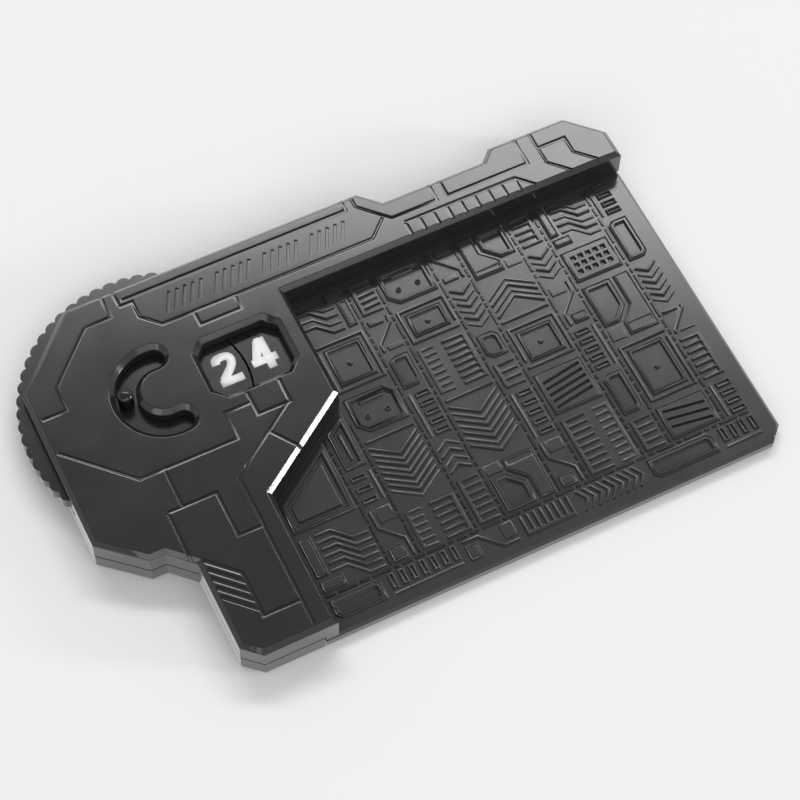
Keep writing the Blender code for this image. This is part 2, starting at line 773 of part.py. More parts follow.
def hatch(length, width):
    """Return a clipped plate with a pocket."""
    clip = min(length, width) / 4
    sill = 2 * RELIEF_FRAME
    pocket = clipped(RELIEF_FRAME, RELIEF_FRAME, length - sill, width - sill, clip / 2)
    return [clipped(0, 0, length, width, clip)], [pocket]


def louvre(length, width):
    """Return a plate with slanted slots."""
    frame = RELIEF_FRAME
    slant = length / 8
    slots = []
    for y in spaced(width - 2 * frame - slant - RELIEF_BAR):
        start = frame + y
        end = start + slant
        slots.append([(frame, start), (length - frame, end), (length - frame, end + RELIEF_BAR),
                      (frame, start + RELIEF_BAR)])
    return [rectangle(0, 0, length, width)], slots


def stairs(length, width):
    """Return a cranked plate beside a second one, and a block in the corner they leave."""
    wide = length * 5 / 8
    slim = length / 3
    low = width / 4
    high = low + wide - slim
    gap = RELIEF_GAP
    plate = [(0, 0), (wide, 0), (wide, low), (slim, high), (slim, width), (0, width)]
    second = [(slim + gap, high + gap / 2), (wide + gap, low + gap / 2), (length, low + gap / 2),
              (length, width), (slim + gap, width)]
    corner = rectangle(wide + gap, 0, length - wide - gap, low - gap / 2)
    return [plate, second, corner], []


def arrows(length, width, start=0):
    """Return arrowheads one behind the other."""
    rise = length / 3
    half = RELIEF_BAR / 2
    heads = []
    for y in spaced(width - start - rise - RELIEF_BAR):
        low = start + half + y
        path = [(0, low), (length / 2, low + rise), (length, low)]
        heads.append(ribbon(path, RELIEF_BAR))
    return heads, []


def chevrons(length, width):
    """Return arrowheads behind a foot bar."""
    heads = arrows(length, width, RELIEF_BAR + RELIEF_GAP)[0]
    return [rectangle(0, 0, length, RELIEF_BAR)] + heads, []


def comb(reach, width):
    """Return a rail along the left side whose teeth have a given reach."""
    points = [(0, 0)]
    for y in spaced(width - RELIEF_BAR):
        points += [(RELIEF_FRAME, y), (reach, y), (reach, y + RELIEF_BAR),
                   (RELIEF_FRAME, y + RELIEF_BAR)]
    return [points[0]] + points[2:-1] + [(0, width)]


def ladder(length, width):
    """Return a comb across the whole cell."""
    return [comb(length, width)], []


def combs(length, width):
    """Return two combs that face each other."""
    short = [(length - x, y) for x, y in reversed(comb(length / 3, width))]
    return [comb(length / 2, width), short], []


def hook(length, width):
    """Return a rib that turns inwards round a block."""
    half = RELIEF_BAR / 2
    turn = RELIEF_BAR + RELIEF_GAP
    path = [(length, half), (half, half), (half, width - half), (length - half, width - half),
            (length - half, half + turn)]
    block = rectangle(turn, turn, length - 2 * turn, width - 2 * turn)
    return [ribbon(path, RELIEF_BAR), block], []


def lattice(length, width):
    """Return a plate with rows of pockets."""
    size = RELIEF_PITCH - RELIEF_GAP
    sill = 2 * RELIEF_FRAME + size
    pockets = [
        rectangle(RELIEF_FRAME + x, RELIEF_FRAME + y, size, size)
        for x in spaced(length - sill) for y in spaced(width - sill)
    ]
    return [rectangle(0, 0, length, width)], pockets


def traces(length, width):
    """Return ribs with a jog, and a pad that they run to."""
    jog = length / 4
    pad = length / 5
    half = RELIEF_BAR / 2
    ribs = []
    for y in spaced(width - jog - RELIEF_BAR):
        low = half + y
        ribs.append(ribbon([(0, low), (length / 4, low), (length / 4 + jog, low + jog),
                            (length - pad - RELIEF_GAP, low + jog)], RELIEF_BAR))
    foot = rectangle(length * 5 / 8, 0, length * 3 / 8, jog - RELIEF_GAP)
    return ribs + [rectangle(length - pad, jog, pad, width - jog), foot], []


def crank(length, width):
    """Return a rib with a crank, and a block on either side of it."""
    half = RELIEF_BAR / 2
    bend = length / 2 - half
    middle = width / 2
    path = [(half, 0), (half, middle - bend), (length - half, middle + bend), (length - half, width)]
    edge = RELIEF_BAR + RELIEF_GAP
    reach = max(middle - bend - RELIEF_GAP, RELIEF_BAR)
    return [ribbon(path, RELIEF_BAR), rectangle(edge, 0, length - edge, reach),
            rectangle(0, width - reach, length - edge, reach)], []


def pips(length, width):
    """Return a column of blocks beside a rail."""
    size = RELIEF_PITCH - RELIEF_GAP
    left = RELIEF_BAR + RELIEF_GAP
    blocks = [rectangle(left, y, length - left, size) for y in spaced(width - size)]
    return [rectangle(0, 0, RELIEF_BAR, width)] + blocks, []


WIDE_MOTIFS = (hatch, louvre, stairs, chevrons, combs, hook, lattice, traces)
NARROW_MOTIFS = (ladder, hatch, crank, pips, arrows)


def split(draw, start, end, nominal):
    """Divide a stretch into cells of unlike sizes with lanes between them."""
    count = max(1, round((end - start + RELIEF_LANE) / (nominal + RELIEF_LANE)))
    weights = [draw.choice(RELIEF_CELL_shares) for _ in range(count)]
    room = end - start - RELIEF_LANE * (count - 1)
    cells = []
    for weight in weights:
        size = room * weight / sum(weights)
        cells.append((start, size))
        start += size + RELIEF_LANE
    return cells


def relief_columns():
    """Return wide and narrow columns in turn, on either side of the housing's corner."""
    wall = field_wall(-RELIEF_MARGIN_WALL)
    corner = wall[2][0]
    stretches = (
        (wall[0][0], corner - RELIEF_LANE),
        (corner, BODY_RIGHT - RELIEF_MARGIN_SIDE),
    )
    columns = []
    for left, right in stretches:
        pairs = max(1, round((right - left) / RELIEF_PAIR_PITCH))
        pitch = (right - left + RELIEF_LANE) / pairs
        wide = pitch - RELIEF_NARROW - 2 * RELIEF_LANE
        for k in range(pairs):
            start = left + pitch * k
            columns.append((start, wide, WIDE_MOTIFS, RELIEF_WIDE_CELL))
            columns.append((start + wide + RELIEF_LANE, RELIEF_NARROW, NARROW_MOTIFS,
                            RELIEF_NARROW_CELL))
    return columns


def field_back(x):
    """Return how far back the relief reaches at a place across the card field."""
    start, end = field_wall(-RELIEF_MARGIN_WALL)[1:]
    if x >= end[0]:
        return STRIP_FRONT - RELIEF_MARGIN_WALL
    return start[1] + (x - start[0]) * (end[1] - start[1]) / (end[0] - start[0])


def place_motif(draw, motif, left, front, length, width, turned):
    """Return a motif's outlines on the card field, flipped as the draw says."""
    flips = (draw.choice((False, True)), draw.choice((False, True)))
    groups = motif(width, length) if turned else motif(length, width)
    placed = []
    for group in groups:
        outlines = []
        for points in group:
            if turned:
                points = [(y, x) for x, y in reversed(points)]
            if flips[0]:
                points = [(length - x, y) for x, y in reversed(points)]
            if flips[1]:
                points = [(x, width - y) for x, y in reversed(points)]
            outlines.append([(left + x, front + y) for x, y in points])
        placed.append(outlines)
    return placed


def knee_motif(left, front, length, back):
    """Return a plate that ends along the housing's slanting wall, and its pocket."""
    right = left + length
    outline = [(left, front), (right, front), (right, field_back(right)), (left, back)]
    return [outline], [inset(outline, RELIEF_FRAME)]


def fill_cells(draw, motifs, cells):
    """Give cells the motifs in a shuffled order, so that neighbours differ."""
    order = draw.sample(motifs, len(motifs))
    return [place_motif(draw, order[k % len(order)], *cell) for k, cell in enumerate(cells)]


def relief_outlines():
    """Return the raised outlines of the whole relief and the ones sunk into them."""
    draw = random.Random(RELIEF_SEED)
    front = RELIEF_MARGIN_FRONT - BODY_FRONT
    row = split(draw, LEG_RIGHT + RELIEF_MARGIN_WALL, BODY_RIGHT - RELIEF_MARGIN_SIDE,
                RELIEF_WIDE_CELL)
    cells = [(start, front, size, RELIEF_NARROW, True) for start, size in row]
    found = fill_cells(draw, NARROW_MOTIFS, cells)
    front += RELIEF_NARROW + RELIEF_LANE
    for left, length, motifs, nominal in relief_columns():
        back = field_back(left)
        column = split(draw, front, back, nominal)
        if field_back(left + length) > back:
            found.append(knee_motif(left, column.pop()[0], length, back))
        cells = [(left, start, length, size, False) for start, size in column]
        found += fill_cells(draw, motifs, cells)
    raised = [outline for group in found for outline in group[0]]
    sunk = [outline for group in found for outline in group[1]]
    return raised, sunk


def relief_blocks(outlines):
    """Return raised motifs with sloping sides, rooted a little way into the plate."""
    root = RELIEF_DRAFT * RELIEF_SINK / RELIEF_HEIGHT
    return [
        loft(f"relief_{k}", [
            (inset(outline, -root), PLATE_TOP_Z - RELIEF_SINK),
            (inset(outline, RELIEF_DRAFT), PLATE_TOP_Z + RELIEF_HEIGHT),
        ])
        for k, outline in enumerate(outlines)
    ]


def relief_pockets(outlines):
    """Return the cutters of the pockets and slots in raised motifs."""
    top = PLATE_TOP_Z + RELIEF_HEIGHT
    return [
        loft(f"pocket_{k}", [
            (inset(outline, RELIEF_DRAFT), PLATE_TOP_Z - RELIEF_POCKET_DEPTH),
            (outline, top),
            (outline, top + OVERRUN),
        ])
        for k, outline in enumerate(outlines)
    ]


def click_notches(name, radius):
    """Return the radial notches under a dial, one for each digit."""
    half_length = CLICK_NOTCH_LENGTH / 2
    half_width = CLICK_NOTCH_WIDTH / 2
    shapes = []
    for k in range(round(360 / DIGIT_STEP_DEG)):
        angle = math.radians(DIGIT_STEP_DEG * k)
        along = (math.cos(angle), math.sin(angle))
        corners = rectangle(radius - half_length, -half_width, 2 * half_length, 2 * half_width)
        outline = [
            (r * along[0] - w * along[1], r * along[1] + w * along[0]) for r, w in corners
        ]
        shapes.append(prism(f"{name}_{k}", outline, DIAL_UNDER_Z - OVERRUN,
                            DIAL_UNDER_Z + CLICK_NOTCH_DEPTH))
    return shapes


def build_units_ring(parts, origin):
    """Model the outer dial: scalloped rim, bore, track groove and click notches."""
    rim = lobe_outline(RING_RADIUS, LOBE_FACETS)
    neck = lobe_outline(RING_RADIUS - RING_EDGE_BEVEL, LOBE_FACETS)
    data = loft("units_ring", [
        (rim, DIAL_UNDER_Z),
        (rim, DIAL_TOP_Z - RING_EDGE_BEVEL),
        (neck, DIAL_TOP_Z),
    ])
    ring = new_object("units_ring", data, parts, origin)
    bore = prism("bore", circle((0, 0), RING_BORE_RADIUS, ROUND_FACETS),
                 DIAL_UNDER_Z - OVERRUN, DIAL_TOP_Z + OVERRUN)
    inner = TRACK_RADIUS - TRACK_WIDTH / 2 - SEAT_GAP
    outer = TRACK_RADIUS + TRACK_WIDTH / 2 + SEAT_GAP
    high = DIAL_UNDER_Z + TRACK_RISE + SEAT_GAP
    low = DIAL_UNDER_Z - OVERRUN
    track = spun("track_groove", [(inner, low), (outer, low), (outer, high), (inner, high)],
                 ROUND_FACETS)
    cut(ring, [bore, track] + click_notches("units_notch", UNITS_CLICK_RADIUS), origin)
    return ring


def build_tens_disc(parts, origin):
    """Model the inner dial: hub bore, peg hole, underside pocket and click notches."""
    bore = HUB_RADIUS + TURN_GAP
    pocket = DIAL_UNDER_Z + DISC_POCKET_DEPTH
    outer = DISC_RADIUS - DISC_POCKET_INSET
    inner = outer - DISC_POCKET_WIDTH
    profile = [
        (bore, DIAL_UNDER_Z), (inner, DIAL_UNDER_Z), (inner, pocket), (outer, pocket),
        (outer, DIAL_UNDER_Z), (DISC_RADIUS, DIAL_UNDER_Z), (DISC_RADIUS, DIAL_TOP_Z),
        (bore, DIAL_TOP_Z),
    ]
    disc = new_object("tens_disc", spun("tens_disc", profile, ROUND_FACETS), parts, origin)
    hole = circle(polar(PEG_ORBIT, PEG_REST_DEG), PEG_SHANK_RADIUS + TURN_GAP, SMALL_FACETS)
    socket = prism("peg_hole", hole, peg_foot() - SEAT_GAP, DIAL_TOP_Z + OVERRUN)
    cut(disc, [socket] + click_notches("tens_notch", TENS_CLICK_RADIUS), origin)
    return disc


def peg_foot():
    """Return the height of the peg's lower end, inside the disc."""
    return DIAL_TOP_Z + SEAT_GAP - PEG_SHANK_LENGTH


def build_tens_peg(parts, origin):
    """Model the domed thumb peg that turns the inner dial."""
    seat = DIAL_TOP_Z + SEAT_GAP
    top = DECK_Z + PEG_PROUD
    shoulder = top - PEG_DOME_HEIGHT
    steps = 5
    sections = [
        (PEG_SHANK_RADIUS, peg_foot()), (PEG_SHANK_RADIUS, seat), (PEG_RADIUS, seat),
        (PEG_RADIUS, shoulder),
    ]
    for k in range(1, steps):
        angle = math.radians(90 * k / steps)
        reach = PEG_RADIUS * math.cos(angle)
        sections.append((reach, shoulder + PEG_DOME_HEIGHT * math.sin(angle)))
    sections.append((PEG_RADIUS / 10, top))
    centre = polar(PEG_ORBIT, PEG_REST_DEG)
    return turned("tens_peg", sections, centre, SMALL_FACETS, parts, origin)


def turned(name, sections, centre, facets, parts, origin):
    """Model a solid turned piece from (radius, height) pairs, from low to high."""
    data = loft(name, [(circle(centre, radius, facets), z) for radius, z in sections])
    return new_object(name, data, parts, origin)


def build_screw(name, centre, parts, origin):
    """Model a sunk pan-head screw with a driver socket and a tapered point."""
    under = UNDERSIDE_Z
    seat = head_seat()
    top = screw_top()
    socket = under + SCREW_SOCKET_DEPTH
    sections = [
        (SCREW_SOCKET_RADIUS, socket), (SCREW_SOCKET_RADIUS, under),
        (SCREW_HEAD_RADIUS, under), (SCREW_HEAD_RADIUS, seat), (SCREW_RADIUS, seat),
        (SCREW_RADIUS, top - SCREW_POINT_LENGTH), (SCREW_RADIUS / 4, top),
    ]
    return turned(name, sections, centre, SCREW_FACETS, parts, origin)


def build_washer(parts, origin):
    """Model the thin washer between the hub seat and the inner dial."""
    inner = HUB_RADIUS + TURN_GAP
    middle = (FLOOR_Z + HUB_SEAT_RISE + DIAL_UNDER_Z) / 2
    low = middle - WASHER_THICKNESS / 2
    high = middle + WASHER_THICKNESS / 2
    outer = inner + WASHER_WIDTH
    profile = [(inner, low), (outer, low), (outer, high), (inner, high)]
    data = spun("disc_washer", profile, 2 * SMALL_FACETS)
    return new_object("disc_washer", data, parts, origin)


def units_stake():
    """Return the place of the moulded pin that holds the outer dial's click spring."""
    return polar(UNITS_CLICK_RADIUS, UNITS_SPRING_START_DEG)


def tens_stake():
    """Return the place of the moulded pin that holds the inner dial's click spring."""
    return polar(TENS_CLICK_RADIUS, TENS_SPRING_START_DEG)


def build_click_spring(name, radius, start, span, parts, origin):
    """Model a curved leaf spring: an eyed pad at one end and a click bump at the other."""
    half = SPRING_WIDTH / 2
    steps = round(span / ARC_STEP_DEG) + 1
    outer = [polar(radius + half, start + span * k / steps) for k in range(steps + 1)]
    inner = [polar(radius - half, start + span * k / steps) for k in range(steps, -1, -1)]
    leaf = prism(name, outer + inner, SPRING_UNDER_Z, SPRING_TOP_Z)
    spring = new_object(name, leaf, parts, origin)
    pad = circle(polar(radius, start), SPRING_PAD_RADIUS, SMALL_FACETS)
    edge = math.degrees(SPRING_BUMP_LENGTH / radius)
    last = start + span
    bump = [
        polar(radius + half / 2, last - 2 * edge), polar(radius + half / 2, last - edge),
        polar(radius - half / 2, last - edge), polar(radius - half / 2, last - 2 * edge),
    ]
    shapes = [
        prism(f"{name}_pad", pad, SPRING_UNDER_Z, SPRING_TOP_Z),
        prism(f"{name}_bump", bump, SPRING_UNDER_Z, SPRING_TOP_Z + SPRING_BUMP_RISE),
    ]
    join(spring, shapes, origin)
    eye = circle(polar(radius, start), STAKE_RADIUS + TURN_GAP, SMALL_FACETS)
    cut(spring, [prism(f"{name}_eye", eye, FLOOR_Z, SPRING_TOP_Z + OVERRUN)], origin)
    return spring


def build_foot(name, centre, parts, origin):
    """Model a round rubber foot that stands in its recess."""
    high = UNDERSIDE_Z + FOOT_RECESS - SEAT_GAP
    data = prism(name, circle(centre, FOOT_RADIUS, 2 * SMALL_FACETS), 0, high)
    return new_object(name, data, parts, origin)


def build_small_parts(parts, origin):
    """Model the washer, springs, screws and feet, and return them by material."""
    steel = [
        build_washer(parts, origin),
        build_click_spring("units_click_spring", UNITS_CLICK_RADIUS, UNITS_SPRING_START_DEG,
                           UNITS_SPRING_SPAN_DEG, parts, origin),
        build_click_spring("tens_click_spring", TENS_CLICK_RADIUS, TENS_SPRING_START_DEG,
                           TENS_SPRING_SPAN_DEG, parts, origin),
        build_screw("hub_screw", (0, 0), parts, origin),
    ]
    for k, centre in enumerate(housing_screw_places(), 1):
        steel.append(build_screw(f"housing_screw_{k}", centre, parts, origin))
    for k, centre in enumerate(strip_points(STRIP_SCREW_shares), 1):
        steel.append(build_screw(f"plate_screw_{k}", centre, parts, origin))
    places = housing_foot_places() + plate_foot_places()
    rubber = [build_foot(f"foot_{k}", centre, parts, origin) for k, centre in enumerate(places, 1)]
    return steel, rubber


def main():
    """Build every piece and give it its material."""
    clear_scene()
    parts = bpy.data.collections.new("damage_counter_pad")
    bpy.context.scene.collection.children.link(parts)
    origin = bpy.data.objects.new("dial_axis", None)
    parts.objects.link(origin)
    origin.location = (DIAL_X, DIAL_Y, 0)
    shell = material("black_moulded_shell", (0.030, 0.029, 0.031), 0.32)
    dial = material("black_moulded_dial", (0.026, 0.026, 0.027), 0.38)
    glossy = material("polished_peg", (0.022, 0.022, 0.023), 0.15)
    metal = material("zinc_plated_steel", (0.55, 0.56, 0.58), 0.30, 1.0)
    grip = material("black_rubber", (0.020, 0.020, 0.020), 0.80)
    for build in (build_top_cover, build_bottom_cover, build_card_plate):
        build(parts, origin).data.materials.append(shell)
    for build in (build_units_ring, build_tens_disc):
        item = build(parts, origin)
        item.data.materials.append(dial)
        smooth(item)
    peg = build_tens_peg(parts, origin)
    peg.data.materials.append(glossy)
    smooth(peg)
    steel, rubber = build_small_parts(parts, origin)
    for item in steel:
        item.data.materials.append(metal)
    for item in rubber:
        item.data.materials.append(grip)


main()
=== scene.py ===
"""Looks of the damage counter pad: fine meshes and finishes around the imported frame.

Lengths are metres in the frame's own axes. Places in the plan are measured from the axis of the
dials, which the frame's first joint gives, and _DEG marks degrees.
"""

import json
import logging
import math
import random
from collections.abc import Callable
from dataclasses import dataclass
from enum import Enum

import bmesh
import bpy
import numpy as np
from mathutils import Matrix, Vector
from mathutils.geometry import delaunay_2d_cdt


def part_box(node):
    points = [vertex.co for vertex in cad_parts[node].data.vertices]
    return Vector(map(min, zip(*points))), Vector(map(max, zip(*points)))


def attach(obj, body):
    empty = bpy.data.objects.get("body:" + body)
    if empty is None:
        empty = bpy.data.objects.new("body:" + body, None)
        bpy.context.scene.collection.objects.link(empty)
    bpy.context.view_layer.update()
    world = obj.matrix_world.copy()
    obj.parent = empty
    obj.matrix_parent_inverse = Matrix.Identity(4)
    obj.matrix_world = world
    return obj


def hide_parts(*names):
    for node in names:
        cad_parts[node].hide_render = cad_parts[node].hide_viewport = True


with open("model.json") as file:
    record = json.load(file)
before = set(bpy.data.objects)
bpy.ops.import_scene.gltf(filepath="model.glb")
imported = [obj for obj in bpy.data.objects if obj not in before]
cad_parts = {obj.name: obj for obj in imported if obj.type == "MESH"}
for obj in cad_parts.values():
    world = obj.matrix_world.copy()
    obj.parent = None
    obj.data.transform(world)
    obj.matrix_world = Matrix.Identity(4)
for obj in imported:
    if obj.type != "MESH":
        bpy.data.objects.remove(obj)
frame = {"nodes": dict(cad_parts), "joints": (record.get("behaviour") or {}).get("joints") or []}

LOG = logging.getLogger("damage_counter_pad")
MM = 0.001
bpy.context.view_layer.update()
AXIS = np.array(frame["joints"][0]["pos_m"][:2])

# Faces that meet at less than this angle are shaded as one.
SMOOTH_DEG = 35.0
# Normals that round to the same multiples of this count as the same.
SAME_NORMAL = 0.02
# Keeps the division by a length of zero finite.
TINY = 1e-30
# Points of a mesh nearer than this are drawn together.
POLE = 0.0005 * MM
# Points and lines nearer than this are joined by the triangulation, which works in millimetres.
SEAM = 1e-5
# The numbers of a Mix node's sockets for colours.
MIX_FACTOR, MIX_A, MIX_B, MIX_RESULT = 0, 6, 7, 2

# Where the card field starts beside the housing, and where it ends at the strip behind it.
FIELD_LEFT = 28.05 * MM
STRIP_FRONT = 9.35 * MM

Shares = tuple[tuple[float, float], ...]


def linear(hex_colour: str) -> tuple[float, float, float, float]:
    """Turn an sRGB hex colour into linear light.

    Each channel c is c / 12.92 up to 0.04045, and ((c + 0.055) / 1.055) to the power 2.4 above.

    Args:
        hex_colour: Six hex digits, red, green and blue.

    Returns:
        The linear red, green and blue, and an alpha of 1.
    """
    channels = [int(hex_colour[k:k + 2], 16) / 255 for k in (0, 2, 4)]
    light = [c / 12.92 if c <= 0.04045 else ((c + 0.055) / 1.055) ** 2.4 for c in channels]
    return (*light, 1.0)


def add_node(
    tree: bpy.types.NodeTree, kind: str, settings: dict | None = None, links: dict | None = None
) -> bpy.types.Node:
    """Add a shader node with its settings and links.

    Args:
        tree: The node tree that gets the node.
        kind: The node's type name.
        settings: Values by the name or number of a socket, or by the name of a property.
        links: Output sockets by the name or number of the input that they feed.

    Returns:
        The new node.
    """
    node = tree.nodes.new(kind)
    for key, value in (settings or {}).items():
        if isinstance(key, int) or key in node.inputs:
            node.inputs[key].default_value = value
        else:
            setattr(node, key, value)
    for key, source in (links or {}).items():
        tree.links.new(source, node.inputs[key])
    return node


def dress(piece: bpy.types.Object, surface: bpy.types.Material) -> None:
    """Give a piece one material.

    Args:
        piece: A mesh object, new or from the frame.
        surface: The material.
    """
    if piece.material_slots:
        for place in piece.material_slots:
            place.material = surface
    else:
        piece.data.materials.append(surface)


def shade_flats(data: bpy.types.Mesh) -> None:
    """Shade a mesh so that flat faces stay flat and narrow turns between them look round.

    The faces round a vertex whose normals are the same make a group of area g. A corner's normal is the
    sum of the normals of the groups within the smoothing angle of its own face, each times g^2.

    Args:
        data: The mesh, which gets its own normals.
    """
    data.shade_smooth()
    faces, corners = len(data.polygons), len(data.loops)
    normals = np.empty(faces * 3, np.float32)
    data.polygons.foreach_get("normal", normals)
    areas, totals = np.empty(faces, np.float32), np.empty(faces, np.int32)
    data.polygons.foreach_get("area", areas)
    data.polygons.foreach_get("loop_total", totals)
    vertex = np.empty(corners, np.int32)
    data.loops.foreach_get("vertex_index", vertex)
    face = np.repeat(np.arange(faces), totals)
    normal = normals.reshape(-1, 3)[face].astype(float)
    key = np.column_stack((vertex, np.round(normal / SAME_NORMAL))).astype(np.int64)
    groups, member = np.unique(key, axis=0, return_inverse=True)
    member = member.ravel()
    area = np.bincount(member, areas[face])
    mean = np.column_stack([
        np.bincount(member, normal[:, axis] * areas[face]) for axis in range(3)
    ])
    mean /= np.maximum(np.linalg.norm(mean, axis=1, keepdims=True), TINY)
    first = np.searchsorted(groups[:, 0], vertex)
    count = np.searchsorted(groups[:, 0], vertex, side="right") - first
    # One row for each pair of a corner and a group of faces at its vertex.
    corner = np.repeat(np.arange(corners), count)
    group = np.arange(len(corner)) - np.repeat(np.cumsum(count) - count, count) + first[corner]
    near = (normal[corner] * mean[group]).sum(axis=1) > math.cos(math.radians(SMOOTH_DEG))
    share = np.where(near, area[group] ** 2, 0.0)
    total = np.column_stack([
        np.bincount(corner, share * mean[group, axis], corners) for axis in range(3)
    ])
    size = np.linalg.norm(total, axis=1, keepdims=True)
    total = np.where(size > 0, total / np.maximum(size, TINY), normal)
    data.normals_split_custom_set(total.tolist())


def new_piece(
    name: str, data: bpy.types.Mesh, surface: bpy.types.Material, body: str
) -> bpy.types.Object:
    """Put a finished mesh into the scene as a piece.

    Args:
        name: The piece's name.
        data: Its mesh, in the frame's own axes.
        surface: Its material.
        body: The body that it rides on.

    Returns:
        The piece.
    """
    data.materials.clear()
    data.materials.append(surface)
    shade_flats(data)
    piece = bpy.data.objects.new(name, data)
    bpy.context.scene.collection.objects.link(piece)
    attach(piece, body)
    return piece


def box_middle(node: str) -> np.ndarray:
    """Return the middle of a frame node's box in the plan."""
    low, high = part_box(node)
    return (np.array(low[:2]) + np.array(high[:2])) / 2


def beside(
    points: np.ndarray, start: np.ndarray, run: np.ndarray
) -> tuple[np.ndarray, np.ndarray]:
    """Return how far points lie along and across lines.

    With o the way from a line's start to the point and r the line's direction, the distance
    along is o . r, and the distance across is |o x r|.

    Args:
        points: Places in the plan, as an (n, 2) array.
        start: Where the lines start, as an (m, 2) array.
        run: Their unit directions, as an (m, 2) array.

    Returns:
        Both distances, each as an (n, m) array.
    """
    offset = points[:, None] - start
    along = (offset * run).sum(axis=2)
    return along, np.abs(offset[..., 0] * run[:, 1] - offset[..., 1] * run[:, 0])


def turned(centre: np.ndarray, radius: np.ndarray, height: np.ndarray) -> np.ndarray:
    """Return places round an upright axis, at centre + radius * (cos a, sin a).

    The angle a goes once round in even steps, one for each row of the radius.

    Args:
        centre: Where the axis stands in the plan, in the frame's axes.
        radius: Distances from the axis, as an (m, n) array.
        height: The height of each column, as an (n,) array.

    Returns:
        The places, as an (m, n, 3) array.
    """
    angle = (np.arange(len(radius)) * math.tau / len(radius))[:, None]
    x = centre[0] + radius * np.cos(angle)
    y = centre[1] + radius * np.sin(angle)
    return np.stack((x, y, np.broadcast_to(height, x.shape)), axis=2)


def grid_mesh(name: str, points: np.ndarray) -> bpy.types.Mesh:
    """Return a mesh over a grid of points that closes in both directions.

    Faces point to the side of (step along the first index) x (step along the second).

    Args:
        name: The mesh's name.
        points: Places as an (m, n, 3) array.

    Returns:
        The mesh, with rows of one place, such as poles, drawn together.
    """
    rows, columns = points.shape[:2]
    index = np.arange(rows * columns).reshape(rows, columns)
    ahead = np.roll(index, -1, axis=0)
    quads = np.stack((index, ahead, np.roll(ahead, -1, axis=1), np.roll(index, -1, axis=1)), axis=2)
    data = bpy.data.meshes.new(name)
    data.from_pydata(points.reshape(-1, 3), [], quads.reshape(-1, 4))
    shape = bmesh.new()
    shape.from_mesh(data)
    bmesh.ops.remove_doubles(shape, verts=shape.verts, dist=POLE)
    shape.to_mesh(data)
    shape.free()
    return data


def turned_mesh(name: str, profile: np.ndarray, steps: int, centre: np.ndarray) -> bpy.types.Mesh:
    """Return a turned form: (radius, height) pairs carried round an upright axis.

    Args:
        name: The mesh's name.
        profile: The closed section, counter-clockwise, as an (n, 2) array.
        steps: How many stretches make the full turn.
        centre: Where the axis stands in the plan, in the frame's axes.

    Returns:
        The mesh.
    """
    radius, height = profile.T
    rows = np.broadcast_to(radius, (steps, len(radius)))
    return grid_mesh(name, turned(centre, rows, height))


def outline_offset(outline: np.ndarray, distance: float) -> np.ndarray:
    """Move a closed outline sideways, to the left of its direction.

    With n1 and n2 the unit normals of the two edges at a corner, the corner moves by
    2 * distance * (n1 + n2) / |n1 + n2|^2, so both edges move by the distance.

    Args:
        outline: Corners in order, as an (n, 2) array.
        distance: How far the edges move.

    Returns:
        The moved corners, as an (n, 2) array.
    """
    run = np.roll(outline, -1, axis=0) - outline
    run /= np.linalg.norm(run, axis=1, keepdims=True)
    leaving = np.column_stack((-run[:, 1], run[:, 0]))
    total = leaving + np.roll(leaving, 1, axis=0)
    return outline + 2 * distance * total / (total ** 2).sum(axis=1, keepdims=True)


def ribbon(path: np.ndarray, half: float, run_past: float = 0.0) -> np.ndarray:
    """Return the outline of a band along an open path, with square ends.

    Args:
        path: The path's points, as an (n, 2) array.
        half: Half the band's width.
        run_past: How far the band runs past the path's end points.

    Returns:
        The band's corners, counter-clockwise, as a (2n, 2) array.
    """
    run = np.diff(path, axis=0)
    run /= np.linalg.norm(run, axis=1, keepdims=True)
    normal = np.column_stack((-run[:, 1], run[:, 0]))
    total = np.vstack((normal[:1], normal)) + np.vstack((normal, normal[-1:]))
    side = 2 * half * total / (total ** 2).sum(axis=1, keepdims=True)
    middle = path.astype(float)
    middle[0] -= run_past * run[0]
    middle[-1] += run_past * run[-1]
    return np.vstack((middle - side, (middle + side)[::-1]))


def inside(points: np.ndarray, outlines: list[np.ndarray]) -> np.ndarray:
    """Tell which points lie inside closed lines: a ray to +X crosses them an odd number of times.

    Args:
        points: Places in the plan, as an (n, 2) array.
        outlines: Closed lines, each as an (m, 2) array.

    Returns:
        True for each point that lies inside.
    """
    start = np.vstack(outlines)
    end = np.vstack([np.roll(outline, -1, axis=0) for outline in outlines])
    x, y = points[:, :1], points[:, 1:]
    spans = (start[:, 1] > y) != (end[:, 1] > y)
    rise = np.where(spans, end[:, 1] - start[:, 1], 1.0)
    cross = start[:, 0] + (y - start[:, 1]) * (end[:, 0] - start[:, 0]) / rise
    return (spans & (cross > x)).sum(axis=1) % 2 == 1


def triangulate(loops: list[np.ndarray]) -> tuple[np.ndarray, np.ndarray, np.ndarray]:
    """Join closed lines of the plan by triangles that keep every line as edges.

    Args:
        loops: Closed lines, each as an (n, 2) array. They may cross.

    Returns:
        The places in the plan, the triangles, and for each place the number of the given point
        that it was, or -1 where lines cross.
    """
    starts = np.cumsum([0] + [len(loop) for loop in loops[:-1]])
    edges = np.vstack([
        np.column_stack((np.arange(len(loop)), np.roll(np.arange(len(loop)), -1))) + start
        for loop, start in zip(loops, starts)
    ])
    found = delaunay_2d_cdt((np.vstack(loops) / MM).tolist(), edges.tolist(), [], 0, SEAM)
    plan = np.array([point[:] for point in found[0]]) * MM
    first = np.array([ids[0] if ids else -1 for ids in found[3]])
    return plan, np.array(found[2]), first


@dataclass
class Contour:
    """A closed line of the plan that lies at one height."""

    points: np.ndarray
    height: float


